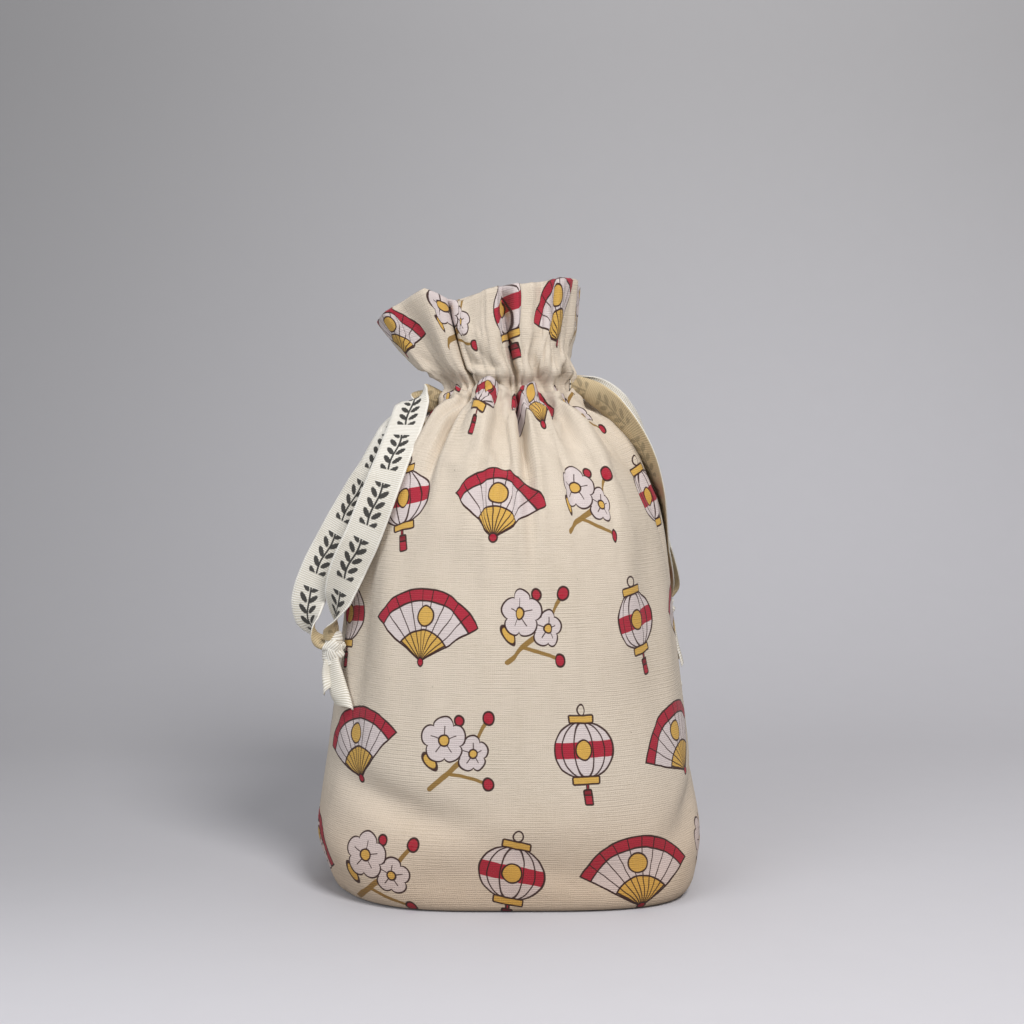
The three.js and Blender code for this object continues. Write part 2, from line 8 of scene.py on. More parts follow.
import bmesh
import bpy
import numpy as np
from bpy.props import FloatProperty, FloatVectorProperty, IntProperty, PointerProperty
from mathutils import Euler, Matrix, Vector

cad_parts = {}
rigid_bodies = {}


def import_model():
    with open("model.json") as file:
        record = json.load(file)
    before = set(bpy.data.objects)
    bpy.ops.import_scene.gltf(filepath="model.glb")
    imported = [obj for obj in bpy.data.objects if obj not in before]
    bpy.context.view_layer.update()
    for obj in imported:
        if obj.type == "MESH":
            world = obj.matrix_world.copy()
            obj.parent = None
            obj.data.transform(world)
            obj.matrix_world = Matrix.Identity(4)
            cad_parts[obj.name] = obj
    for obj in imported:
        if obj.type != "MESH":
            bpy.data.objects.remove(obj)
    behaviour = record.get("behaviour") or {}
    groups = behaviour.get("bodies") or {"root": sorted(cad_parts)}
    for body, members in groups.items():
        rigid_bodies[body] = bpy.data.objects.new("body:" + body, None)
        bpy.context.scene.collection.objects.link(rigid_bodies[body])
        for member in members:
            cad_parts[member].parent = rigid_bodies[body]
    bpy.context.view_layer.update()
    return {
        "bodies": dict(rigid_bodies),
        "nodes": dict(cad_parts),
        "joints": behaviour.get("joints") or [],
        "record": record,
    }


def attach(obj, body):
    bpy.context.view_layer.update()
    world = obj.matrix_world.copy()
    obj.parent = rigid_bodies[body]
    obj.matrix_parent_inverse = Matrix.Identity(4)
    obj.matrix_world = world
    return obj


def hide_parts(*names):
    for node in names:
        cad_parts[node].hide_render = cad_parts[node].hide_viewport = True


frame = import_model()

bl_info = {
    "name": "Kinchaku Drawstring Pouch",
    "version": (1, 0, 0),
    "blender": (4, 5, 0),
    "location": "View3D > Sidebar > Pouch",
    "description": "Builds a filled canvas drawstring pouch with knotted ribbon drawstrings",
    "category": "Object",
}

BODY = "root"
MM = 0.001
FRONT = -1
BACK = 1


# Sizes and colours that a user would change

def length(name, description, default):
    """A length in metres."""
    return FloatProperty(name=name, description=description, default=default, unit="LENGTH", precision=5)


def level(name, description, default):
    """A half width, a half depth and a height of the filled pouch's outside."""
    return FloatVectorProperty(
        name=name, description=description, default=default, size=3, subtype="XYZ", unit="LENGTH", precision=5
    )


def colour(name, description, default):
    """A colour, as red, green and blue."""
    return FloatVectorProperty(
        name=name, description=description, default=default, size=3, subtype="COLOR", min=0, max=1
    )


class PouchShape(bpy.types.PropertyGroup):
    """The outside of the filled pouch, from the table up."""

    foot: level("Foot", "Edge of the flat foot", (0.0715, 0.0575, 0.00045))
    kerb: level("Kerb", "Just above the foot's edge", (0.0782, 0.0642, 0.006))
    belly: level("Belly", "Widest part", (0.0805, 0.066, 0.021))
    hip: level("Hip", "Above the belly", (0.0755, 0.065, 0.061))
    waist: level("Waist", "Middle of the body", (0.0695, 0.062, 0.108))
    chest: level("Chest", "Upper body", (0.0645, 0.056, 0.15))
    shoulder: level("Shoulder", "Where the body turns in to the neck", (0.056, 0.046, 0.179))
    collar: level("Collar", "Just under the casing", (0.045, 0.0335, 0.19))
    neck: level("Neck", "Lower stitch line of the casing", (0.033, 0.021, 0.194))
    casing_height: length("Casing height", "Between the casing's two stitch lines", 0.018)
    pinch_depth: length("Pinch", "How far the drawstrings draw the casing in", 0.0056)
    pinch_reach: length("Pinch reach", "Half height of the drawn-in line", 0.0052)


class ClothSettings(bpy.types.PropertyGroup):
    """The canvas and its cut."""

    flat_width: length("Flat width", "Width of each panel, between its seams", 0.245)
    flat_height: length("Flat height", "Height of each panel as cut, hem and half the foot included", 0.383)
    thickness: length("Thickness", "Thickness of one layer", 0.0007)
    hem_gap: length("Hem gap", "Between the frill's two layers, middle to middle", 0.0013)
    seam_allowance: length("Seam allowance", "Turned inside along each side seam", 0.006)
    weave_pitch: length("Weave pitch", "From one thread to the next", 0.0008)
    ivory: colour("Ivory", "Unbleached canvas", (0.70, 0.615, 0.515))
    shade: colour("Shade", "Darker threads and slubs", (0.55, 0.475, 0.37))
    columns: IntProperty(name="Columns", description="Mesh steps across each panel", default=168)
    rows: IntProperty(name="Rows", description="Mesh steps from the foot to the frill's fold", default=154)
    hem_rows: IntProperty(name="Hem rows", description="Mesh steps down the folded hem", default=22)
    pleats: IntProperty(name="Pleats", description="Fine pleats all round the drawn line", default=31)


class PrintSettings(bpy.types.PropertyGroup):
    """The printed pattern."""

    cell_width: length("Cell width", "From one motif to the next", 0.052)
    cell_height: length("Cell height", "From one row of motifs to the next", 0.049)
    outline: length("Outline", "Width of the drawn outlines", 0.0008)
    ink: colour("Ink", "Dark brown outlines", (0.045, 0.018, 0.016))
    crimson: colour("Crimson", "Red of the motifs", (0.40, 0.012, 0.035))
    gold: colour("Gold", "Mustard gold of the motifs", (0.66, 0.40, 0.085))
    paper: colour("Paper", "Pale lilac ground of the motifs", (0.68, 0.60, 0.60))


class RibbonSettings(bpy.types.PropertyGroup):
    """The grosgrain ribbon."""

    width: length("Width", "Width of the ribbon", 0.015)
    thickness: length("Thickness", "Thickness of the ribbon", 0.0005)
    rib_pitch: length("Rib pitch", "From one rib to the next", 0.00083)
    rib_height: length("Rib height", "How far each rib stands up", 0.00009)
    face: colour("Face", "Cream of the ribbon's face", (0.86, 0.84, 0.785))
    # The inner side's colour is warmer than the face, and darker as painted shade of the side that faces the
    # pouch.
    inner: colour("Inner side", "Warmer side towards the pouch", (0.62, 0.50, 0.31))
    mark: colour("Marks", "Printed sprigs", (0.012, 0.011, 0.01))


class StudioSettings(bpy.types.PropertyGroup):
    """The camera, lamps and backdrop."""

    camera_distance: length("Camera distance", "In front of the pouch's middle", 0.70)
    camera_height: length("Camera height", "Above the table", 0.201)
    camera_side: length("Camera side", "To the right of the pouch's middle", 0.0017)
    camera_pitch: FloatProperty(
        name="Camera pitch",
        description="How far the camera looks down",
        default=math.radians(3.9),
        subtype="ANGLE",
    )
    lens: FloatProperty(name="Lens", description="Focal length in millimetres", default=58.5)
    floor: colour("Floor", "Pale floor", (0.675, 0.675, 0.725))
    wall: colour("Wall", "Pale backdrop", (0.60, 0.60, 0.625))


# Curves and surfaces worked out with arrays

def through_levels(values, t):
    """A monotone curve through one value per level, so that nothing overshoots; t counts levels."""
    values = np.asarray(values, float)
    rise = np.diff(values)
    slope = np.empty(len(values))
    slope[0], slope[-1] = rise[0], rise[-1]
    for i in range(1, len(rise)):
        before, after = rise[i - 1], rise[i]
        slope[i] = 0 if before * after <= 0 else 2 * before * after / (before + after)
    i = np.clip(np.floor(t).astype(int), 0, len(rise) - 1)
    f = t - i
    start = (1 + 2 * f) * (1 - f) ** 2 * values[i] + f * (1 - f) ** 2 * slope[i]
    return start + f * f * (3 - 2 * f) * values[i + 1] - f * f * (1 - f) * slope[i + 1]


def curve_through(points, t, closed=False):
    """Points of a centripetal Catmull-Rom curve through the given ones; t counts the given points."""
    points = np.asarray(points, float)
    count = len(points)
    i = np.floor(t).astype(int)
    if not closed:
        i = np.clip(i, 0, count - 2)
        points = np.vstack([2 * points[0] - points[1], points, 2 * points[-1] - points[-2]])
        p0, p1, p2, p3 = (points[i + k] for k in range(4))
    else:
        p0, p1, p2, p3 = (points[(i + k) % count] for k in (-1, 0, 1, 2))
    f = (t - i)[:, None]
    steps = [np.maximum(np.linalg.norm(b - a, axis=1, keepdims=True), 1e-9) ** 0.5
             for a, b in ((p0, p1), (p1, p2), (p2, p3))]
    before, here, after = steps
    leave = ((p1 - p0) / before - (p2 - p0) / (before + here) + (p2 - p1) / here) * here
    arrive = ((p2 - p1) / here - (p3 - p1) / (here + after) + (p3 - p2) / after) * here
    h = f * f * (3 - 2 * f)
    return p1 * (1 - h) + p2 * h + leave * f * (1 - f) ** 2 - arrive * f * f * (1 - f)


def smoothstep(value, low, high):
    """0 below low, 1 above high, and a smooth step between."""
    f = np.clip((value - low) / (high - low), 0, 1)
    return f * f * (3 - 2 * f)


def unit(vectors):
    """The same vectors with a length of one."""
    return vectors / np.maximum(np.linalg.norm(vectors, axis=-1, keepdims=True), 1e-12)


def run_along(points, axis=0):
    """The distance run along lines of points, from 0."""
    steps = np.linalg.norm(np.diff(points, axis=axis), axis=-1)
    start = np.zeros_like(np.take(steps, [0], axis=axis))
    return np.concatenate([start, np.cumsum(steps, axis=axis)], axis=axis)


def girth(ring):
    """The way round each row of a closed ring of columns."""
    closed = np.concatenate([ring, ring[:, :1]], 1)
    return np.linalg.norm(np.diff(closed, axis=1), axis=2).sum(1)


def row_steps(points):
    """The mean distance from each row of points to the next."""
    return np.linalg.norm(np.diff(points, axis=0), axis=2).mean(1)


def piece_from(bm, name):
    """A new piece of the scene, made from a bmesh, which is freed."""
    mesh = bpy.data.meshes.new(name)
    bm.to_mesh(mesh)
    bm.free()
    piece = bpy.data.objects.new(name, mesh)
    bpy.context.scene.collection.objects.link(piece)
    return piece


def places_of(mesh):
    """Where the vertices of a mesh are."""
    places = np.empty(len(mesh.vertices) * 3)
    mesh.vertices.foreach_get("co", places)
    return places.reshape(-1, 3)


def grid_piece(name, points, flat_places):
    """A mesh of points[row][column], with a UV map of the places that they have on the flat cloth."""
    rows, columns = points.shape[0] - 1, points.shape[1] - 1
    bm = bmesh.new()
    bmesh.ops.create_grid(bm, x_segments=columns, y_segments=rows, size=1)
    piece = piece_from(bm, name)
    mesh = piece.data
    made = places_of(mesh)
    column = np.rint((made[:, 0] + 1) / 2 * columns).astype(int)
    row = np.rint((made[:, 1] + 1) / 2 * rows).astype(int)
    mesh.vertices.foreach_set("co", points[row, column].ravel())
    corners = np.empty(len(mesh.loops), np.int32)
    mesh.loops.foreach_get("vertex_index", corners)
    layer = mesh.uv_layers.new(name="flat")
    layer.data.foreach_set("uv", flat_places[row[corners], column[corners]].ravel())
    mesh.polygons.foreach_set("use_smooth", np.ones(len(mesh.polygons), bool))
    mesh.update()
    return piece


def finish_piece(piece, materials, replaced=()):
    """Gives a piece its materials, the nodes that it stands for and the body that it rides on."""
    for material in materials:
        piece.data.materials.append(material)
    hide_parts(*replaced)
    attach(piece, BODY)
    return piece


def thicken(piece, thickness):
    """A live Solidify of the piece, whose inner side has its second material."""
    wall = piece.modifiers.new("thickness", "SOLIDIFY")
    wall.thickness = thickness
    wall.offset = 0
    wall.use_even_offset = False
    wall.material_offset = 1
    wall.material_offset_rim = 0


# Materials, worked out from small sums of nodes

class Paint:
    """One node material and short calls that add nodes to it."""

    def __init__(self, name):
        self.material = bpy.data.materials.new(name)
        self.material.use_nodes = True
        self.tree = self.material.node_tree
        self.tree.nodes.clear()

    def node(self, kind, settings=(), **inputs):
        """Adds a node, sets its settings, and links or sets its inputs by name."""
        made = self.tree.nodes.new("ShaderNode" + kind)
        for key, value in dict(settings).items():
            setattr(made, key, value)
        for key, value in inputs.items():
            self.feed(made.inputs[key.replace("_", " ")], value)
        return made

    def feed(self, socket, value):
        """Links a number or a socket to an input, or sets its value."""
        if isinstance(value, Number):
            value = value.socket
        if isinstance(value, bpy.types.NodeSocket):
            self.tree.links.new(value, socket)
        elif hasattr(value, "__len__") and len(value) == 3 and socket.type == "RGBA":
            socket.default_value = (*value, 1)
        else:
            socket.default_value = value

    def number(self, socket):
        return Number(self, socket)

    def mix(self, share, first, second, blend="MIX"):
        """A colour between two colours."""
        made = self.node("Mix", {"data_type": "RGBA", "blend_type": blend})
        self.feed(made.inputs[0], share)
        self.feed(made.inputs[6], first)
        self.feed(made.inputs[7], second)
        return made.outputs[2]

    def noise(self, vector, scale, detail=2.0, roughness=0.5):
        made = self.node("TexNoise", Vector=vector, Scale=scale, Detail=detail, Roughness=roughness)
        return Number(self, made.outputs["Fac"])

    def step(self, value, low, high):
        """0 below low, 1 above high, and a smooth step between."""
        made = self.node("MapRange", {"interpolation_type": "SMOOTHSTEP"})
        for key, number in {"Value": value, "From Min": low, "From Max": high}.items():
            self.feed(made.inputs[key], number)
        return Number(self, made.outputs[0])

    def vector(self, x, y, z=0.0):
        return self.node("CombineXYZ", X=x, Y=y, Z=z).outputs[0]

    def split(self, vector):
        made = self.node("SeparateXYZ", Vector=vector)
        return [Number(self, made.outputs[k]) for k in range(3)]

    def shaded(self, ground, settings, **inputs):
        """Ends the material in a shader with settings that are the same all over it."""
        shader = self.node("BsdfPrincipled", Base_Color=ground, **inputs)
        for key, value in settings.items():
            shader.inputs[key].default_value = value
        made = self.node("OutputMaterial")
        self.tree.links.new(shader.outputs[0], made.inputs["Surface"])
        return self.material


class Number:
    """A number in a material. Sums of these add Math nodes."""

    def __init__(self, paint, socket):
        self.paint = paint
        self.socket = socket

    def math(self, operation, *others):
        made = self.paint.node("Math", {"operation": operation})
        for socket, value in zip(made.inputs, (self, *others)):
            self.paint.feed(socket, value)
        return Number(self.paint, made.outputs[0])

    def __add__(self, other):
        return self.math("ADD", other)

    def __sub__(self, other):
        return self.math("SUBTRACT", other)

    def __mul__(self, other):
        return self.math("MULTIPLY", other)

    def __truediv__(self, other):
        return self.math("DIVIDE", other)

    def __abs__(self):
        return self.math("ABSOLUTE")

    def __neg__(self):
        return self * -1.0

    def most(self, other):
        return self.math("MAXIMUM", other)

    def least(self, other):
        return self.math("MINIMUM", other)


def hypotenuse(x, y):
    """The distance of a place from 0, 0."""
    return (x * x + y * y).math("SQRT")


def turned(x, y, angle):
    """The same place after a turn by a fixed angle."""
    c, s = math.cos(angle), math.sin(angle)
    return x * c + y * s, y * c - x * s


class Print:
    """Paints flat shapes one over another. A shape is a number that is below 0 inside, in millimetres."""

    EDGE = 0.14

    def __init__(self, paint, ground, shown, outline, ink):
        self.paint = paint
        self.colour = ground
        self.shown = shown
        self.outline = outline
        self.ink = ink

    def fill(self, shape, colour):
        inside = self.paint.step(shape, self.EDGE, -self.EDGE) * self.shown
        self.colour = self.paint.mix(inside, self.colour, colour)

    def line(self, shape, width=None):
        """The outline of a shape, or a line where it is 0."""
        self.fill(abs(shape) - (width or self.outline) / 2, self.ink)

    def drawn(self, shape, colour):
        self.fill(shape, colour)
        self.line(shape)


def rounded_box(x, y, half_width, half_height, radius):
    """A box with round corners, round 0, 0."""
    dx = (abs(x) - (half_width - radius)).most(0.0)
    dy = (abs(y) - (half_height - radius)).most(0.0)
    return hypotenuse(dx, dy) - radius


def oval(x, y, half_width, half_height):
    """An ellipse round 0, 0."""
    return (hypotenuse(x / half_width, y / half_height) - 1.0) * min(half_width, half_height)


def stroke(x, y, start, end, width):
    """A straight stroke with round ends."""
    (ax, ay), (bx, by) = start, end
    run_x, run_y = bx - ax, by - ay
    px, py = x - ax, y - ay
    along = (px * run_x + py * run_y) / (run_x**2 + run_y**2)
    along = along.most(0.0).least(1.0)
    return hypotenuse(px - along * run_x, py - along * run_y) - width / 2


def folding_fan(sheet, x, y, colours):
    """An open folding fan with gold sticks and a crimson border."""
    pivot, reach, paper_start, spread, folds = -15.0, 32.0, 14.0, math.radians(58), 9
    y = y - pivot
    radius = hypotenuse(x, y)
    angle = x.math("ARCTAN2", y)
    beside = (abs(angle) - spread) * radius
    leaf = (radius - reach).most(beside).most(-radius + paper_start)
    sticks = (radius - paper_start).most((abs(angle) - spread * 0.94) * radius)
    sheet.drawn(sticks, colours["gold"])
    sheet.fill(leaf, colours["paper"])
    sheet.fill(leaf.most(-radius + reach * 0.84), colours["crimson"])
    sheet.line((radius - reach * 0.84).most(beside))
    fold = 2 * spread / folds
    turn = (angle + spread) / fold
    rib = (abs(turn - turn.math("ROUND"))) * radius * fold
    sheet.fill(rib.most(radius - reach).most(beside) - sheet.outline * 0.32, sheet.ink)
    sun = oval(x, y - reach * 0.63, 4.6, 4.6)
    sheet.drawn(sun, colours["gold"])
    sheet.line(leaf)
    sheet.drawn(oval(x, y, 1.9, 1.9), colours["crimson"])


def paper_lantern(sheet, x, y, colours):
    """A round paper lantern with gold caps, a crimson belt and a tassel."""
    half_width, half_height, cap = 14.5, 12.5, 13.4
    y = y - 2.0
    body = oval(x, y, half_width, half_height)
    sheet.line(hypotenuse(x, y - cap - 4.0) - 2.3)
    sheet.drawn(stroke(x, y, (0, -cap - 1), (0, -cap - 5), 1.3), colours["crimson"])
    sheet.drawn(rounded_box(x, y + cap + 7.6, 2.1, 3.4, 0.7), colours["crimson"])
    sheet.line(rounded_box(x, y + cap + 5.4, 2.1, 1.2, 0.4))
    sheet.fill(body, colours["paper"])
    sheet.fill(body.most(abs(y) - 3.6), colours["crimson"])
    for share in (0.36, 0.72):
        sheet.line(oval(x, y, half_width * share, half_height), sheet.outline * 0.75)
    sheet.line(body)
    sheet.drawn(oval(x, y, 4.4, 4.4), colours["gold"])
    sheet.drawn(rounded_box(x, abs(y) - cap, 6.4, 1.7, 0.7), colours["gold"])


def blossom(sheet, x, y, reach, colours):
    """An open five-petalled blossom."""
    radius = hypotenuse(x, y)
    angle = x.math("ARCTAN2", y)
    petals = abs((angle * 2.5).math("COSINE"))
    flower = radius - (petals.math("POWER", 0.6) * 0.26 + 0.74) * reach
    sheet.drawn(flower, colours["paper"])
    notch = abs((angle * 2.5).math("SINE")) * radius * 0.4 - sheet.outline * 0.3
    sheet.fill(notch.most(radius - reach * 0.62).most(-radius + reach * 0.2), sheet.ink)
    sheet.drawn(radius - reach * 0.24, colours["gold"])


def blossom_sprig(sheet, x, y, colours):
    """A branch with two open blossoms and crimson buds."""
    branches = (((-15, -15), (2, -1), 2.4), ((2, -1), (13, 15), 1.8), ((-6, -8), (10, -12), 1.6))
    for start, end, width in branches:
        sheet.fill(stroke(x, y, start, end, width), colours["bark"])
    for bud_x, bud_y, reach in ((13.5, 16.0, 3.0), (12.5, -13.0, 2.7), (-1.0, 15.0, 2.4)):
        sheet.drawn(oval(x - bud_x, y - bud_y, reach * 0.85, reach), colours["crimson"])
    sheet.drawn(oval(*turned(x + 15.0, y + 3.0, 0.7), 2.2, 4.6), colours["gold"])
    blossom(sheet, x - 5.0, y - 0.5, 8.2, colours)
    blossom(sheet, x + 8.5, y - 6.5, 10.5, colours)


def canvas_material(name, printed):
    """Unbleached cotton canvas: a plain weave with slubs and flecks, and on its face the hand-drawn print."""
    scene = bpy.context.scene
    cloth, ink = scene.pouch_cloth, scene.pouch_print
    paint = Paint(name)
    flat = paint.node("UVMap", {"uv_map": "flat"}).outputs[0]
    u, v, _ = paint.split(flat)
    wander = paint.noise(flat, 260, 2)
    across, along = u / cloth.weave_pitch, v / cloth.weave_pitch
    warp = ((across + wander * 0.8) * math.pi).math("SINE")
    weft = ((along + wander * 0.8) * math.pi).math("SINE")
    checker = warp * weft
    thick_weft = paint.noise(paint.vector(u * 150.0, v * 1500.0), 1.0, 2)
    thick_warp = paint.noise(paint.vector(u * 1500.0, v * 110.0), 1.0, 2)
    patches = paint.noise(flat, 16, 4, 0.6)
    drift = paint.noise(paint.vector(u * 30.0, v * 90.0), 1.0, 2)
    stripes = ((v / 0.00068 + drift * 3.0) * math.pi).math("SINE")
    faint = paint.noise(flat, 34, 1)
    shade = (thick_weft * 0.34 + thick_warp * 0.22 + patches * 0.38 + checker * 0.05) - 0.36
    striped = paint.step(faint, 0.42, 0.7)
    shade = shade + stripes * (striped * 0.06 + 0.006)
    ground = paint.mix(paint.step(shade, 0.0, 0.5), tuple(cloth.ivory), tuple(cloth.shade))
    fleck = paint.node("TexVoronoi", {"feature": "F1"}, Vector=flat, Scale=150.0, Randomness=1.0)
    near = paint.number(fleck.outputs["Distance"])
    rare = paint.split(fleck.outputs["Color"])[0]
    speck = paint.step(near, 0.075, 0.03) * paint.step(rare, 0.9, 0.92) * 0.55
    ground = paint.mix(speck, ground, tuple(c * 0.35 for c in cloth.shade))
    if printed:
        ground = printed_pattern(paint, flat, ground, ink, warp, weft, wander)
        stripe_shade = tuple(0.6 * c for c in cloth.shade)
        ground = paint.mix(paint.step(stripes, 0.0, 1.0) * striped * 0.07, ground, stripe_shade)
        # Painted shade: the canvas is darkened and warmed from 60 mm high down to the table.
        low = paint.split(paint.node("TexCoord").outputs["Object"])[2]
        ground = paint.mix(paint.step(low, 0.06, 0.0), ground, (0.90, 0.81, 0.74), "MULTIPLY")
    height = abs(warp) * 0.35 + abs(weft) * 0.55 + thick_weft * 0.8 + thick_warp * 0.45
    height = height - stripes * (striped * 0.14 + 0.02)
    bump = paint.node("Bump", Strength=0.7, Distance=0.00026, Height=height).outputs[0]
    rough = paint.step(thick_weft, 0.2, 0.8) * 0.12 + 0.82
    settings = {"Sheen Weight": 0.12, "Sheen Roughness": 0.55, "Specular IOR Level": 0.25}
    return paint.shaded(ground, settings, Roughness=rough, Normal=bump)


def printed_pattern(paint, flat, ground, ink, warp, weft, wander):
    """Tossed motifs in offset rows, each turned a little its own way, with wavering hand-drawn lines."""
    wobble = paint.node("TexNoise", Vector=flat, Scale=130.0, Detail=1.0)
    shift = paint.split(wobble.outputs["Color"])
    u, v, _ = paint.split(flat)
    x = u + (shift[0] - 0.5) * 0.0011 + 0.008
    y = v + (shift[1] - 0.5) * 0.0011 + 0.012
    row = (y / ink.cell_height).math("FLOOR")
    placed = x / ink.cell_width + row * 0.37
    column = placed.math("FLOOR")
    chance = paint.node("TexWhiteNoise", {"noise_dimensions": "2D"}, Vector=paint.vector(column, row))
    turn = (paint.number(chance.outputs["Value"]) - 0.5) * 0.62
    cell_x = (placed - column - 0.5) * (ink.cell_width / MM)
    cell_y = (y / ink.cell_height - row - 0.5) * (ink.cell_height / MM)
    c, s = turn.math("COSINE"), turn.math("SINE")
    motif_x = (cell_x * c + cell_y * s) * 1.12
    motif_y = (cell_y * c - cell_x * s) * 1.12
    kind = (column + row * 2.0).math("FLOORED_MODULO", 3.0)
    colours = {key: tuple(getattr(ink, key)) for key in ("crimson", "gold", "paper")}
    colours["bark"] = tuple(0.6 * a + 0.4 * b for a, b in zip(ink.ink, ink.gold))
    worn = paint.step(warp * weft + wander * 1.2, -0.75, -0.25) * 0.14 + 0.84
    for index, motif in enumerate((folding_fan, blossom_sprig, paper_lantern)):
        shown = (abs(kind - float(index)).math("LESS_THAN", 0.5)) * worn
        sheet = Print(paint, ground, shown, ink.outline / MM, tuple(ink.ink))
        motif(sheet, motif_x, motif_y, colours)
        ground = sheet.colour
    return ground


def ribbon_material(name, face, marked=False):
    """Ribbed grosgrain with a faint sheen. Small sprigs are printed on the marked face, and show through."""
    ribbon = bpy.context.scene.pouch_ribbon
    paint = Paint(name)
    flat = paint.node("UVMap", {"uv_map": "flat"}).outputs[0]
    u, v, _ = paint.split(flat)
    ribs = ((v / ribbon.rib_pitch) * (2 * math.pi)).math("COSINE")
    threads = ((u / 0.00022) * (2 * math.pi)).math("COSINE")
    patches = paint.noise(flat, 90, 3)
    # The inner side takes the darker inner colour, which is painted shade.
    tone = tuple(ribbon.face if face else ribbon.inner)
    # Painted shade darkens the grooves between the ribs, except along the selvages, and random patches darken
    # the ribbon a little too.
    rib_shade_and_patch_tone = tuple(c * k for c, k in zip(tone, (0.60, 0.56, 0.48)))
    selvage = paint.step(abs(u), ribbon.width / 2 - 0.0008, ribbon.width / 2 - 0.0006)
    rib_shade_and_patches = paint.step(ribs, 0.5, -1.0) * (-selvage + 1.0) * (0.8 if face else 0.45)
    rib_shade_and_patches = rib_shade_and_patches + paint.step(patches, 0.35, 0.75) * 0.15
    ground = paint.mix(rib_shade_and_patches.least(1.0), tone, rib_shade_and_patch_tone)
    if marked:
        x, y = u / MM, v / MM
        placed = y / 24.0
        spot = (placed - placed.math("FLOOR") - 0.5) * 24.0
        sheet = Print(paint, ground, 0.96 if face else 0.35, 0.5, tuple(ribbon.mark))
        within = abs(spot) - 9.0
        sheet.fill((abs(x + (spot * 0.35).math("SINE") * 0.5) - 0.42).most(within), tuple(ribbon.mark))
        leaf_place = spot / 4.4
        leaf_y = (leaf_place - leaf_place.math("ROUND")) * 4.4
        leaf = oval(*turned(abs(x) - 2.2, leaf_y, 0.75), 1.05, 2.35)
        sheet.fill(leaf.most(within), tuple(ribbon.mark))
        ground = sheet.colour
    height = ribs * 0.5 + threads * 0.08
    bump = paint.node("Bump", Strength=0.5, Distance=0.00016, Height=height).outputs[0]
    settings = {"Roughness": 0.5, "Sheen Weight": 0.1, "Specular IOR Level": 0.4}
    return paint.shaded(ground, settings, Normal=bump)


# The drawstrings

# Where a drawstring leaves the casing: how far out, how far forward and how wide, then the two lanes' heights
# and the ribbon's full width, in millimetres
BAND_SIDE = 24.15 + 0.9
BAND_END = 5 - 0.4 - 0.3
EXIT_WIDTH = 7.1
LOWER_LANE = 199.05
UPPER_LANE = 206.95
FULL = 15
# How far inside the neck the drawstrings and the hem over them run, how far a band reaches past the slit, and
# how little the frill's seams turn in, in millimetres. Then the turn on each side of the slit, in radians
BAND_INSET = 12
HEM_INSET = 13.5
SLIT_OVERLAP = 0.6
FRILL_ALLOWANCE = 0.6
SLIT_TURN = 0.28
# Where along each free stretch the printing starts, in metres
PRINT_START = 0.011

# The free stretches, in millimetres: each place, the direction of the ribbon's width, and its width there
LEFT_KNOT = (-71.6, -29, 99.3)
LEFT_FRONT = [
    ((-BAND_SIDE, -BAND_END, LOWER_LANE), (0, 0, 1), EXIT_WIDTH),
    ((-26.4, -2.8, LOWER_LANE), (0, 0, 1), EXIT_WIDTH),
    ((-29.6, -3.2, 200), (0, 0, 1), 9),
    ((-33.2, -3.6, 200.8), (0.05, -0.1, 1), 11),
    ((-36.6, -4.6, 201.4), (0.25, -0.55, 0.8), 12.5),
    ((-38.6, -7.4, 201.2), (0.6, -0.78, 0.2), 14),
    ((-39.6, -11.6, 198.6), (0.9, -0.4, 0), FULL),
    ((-41, -18.4, 192.6), (1, -0.15, 0.1), FULL),
    ((-43.8, -27.6, 183.6), (1, 0, 0.25), FULL),
    ((-47, -34.8, 174.6), (1, -0.1, 0.25), FULL),
    ((-51.6, -39.5, 162), (1, -0.15, 0.25), FULL),
    ((-57.8, -40.5, 146), (1, -0.2, 0.3), FULL),
    ((-63.9, -38.2, 133), (1, -0.3, 0.3), FULL),
    ((-68, -35.2, 121.5), (0.85, -0.6, 0.2), 14),
    ((-70, -32.6, 113.4), (0.3, -1, 0.1), 11),
    ((-71, -30.8, 107.8), (-0.5, -0.85, 0), 7.5),
    ((-71.5, -29.6, 103.6), (-0.8, -0.5, 0), 4.6),
]
LEFT_BACK = [
    ((-BAND_SIDE, BAND_END, LOWER_LANE), (0, 0, 1), EXIT_WIDTH),
    ((-26.4, 2.4, LOWER_LANE), (0, 0, 1), EXIT_WIDTH),
    ((-30, 1.3, LOWER_LANE), (0, 0, 1), EXIT_WIDTH),
    ((-34.6, 1.6, 199.8), (0.1, -0.1, 1), 9),
    ((-39.5, 1.5, 197.6), (0.6, -0.2, 0.6), 11),
    ((-44.6, -4.5, 193.4), (0.85, -0.4, 0.3), 14),
    ((-49, -17, 186.6), (0.85, -0.5, 0.25), FULL),
    ((-55, -24.4, 174), (0.85, -0.5, 0.25), FULL),
    ((-62.8, -25.6, 160), (0.9, -0.45, 0.3), FULL),
    ((-70.8, -25.6, 144.5), (0.95, -0.3, 0.4), FULL),
    ((-77.4, -25.8, 131), (1, -0.25, 0.3), FULL),
    ((-81.2, -26.2, 119.5), (1, -0.3, 0.1), FULL),
    ((-81.2, -26.6, 111), (0.8, -0.65, 0), 13.5),
    ((-78.6, -27.2, 105.8), (0.25, -1, -0.1), 10.5),
    ((-75.2, -28.2, 102.6), (-0.35, -0.8, -0.4), 7),
    ((-73.6, -28.8, 101.4), (-0.45, -0.7, -0.45), 4.6),
]
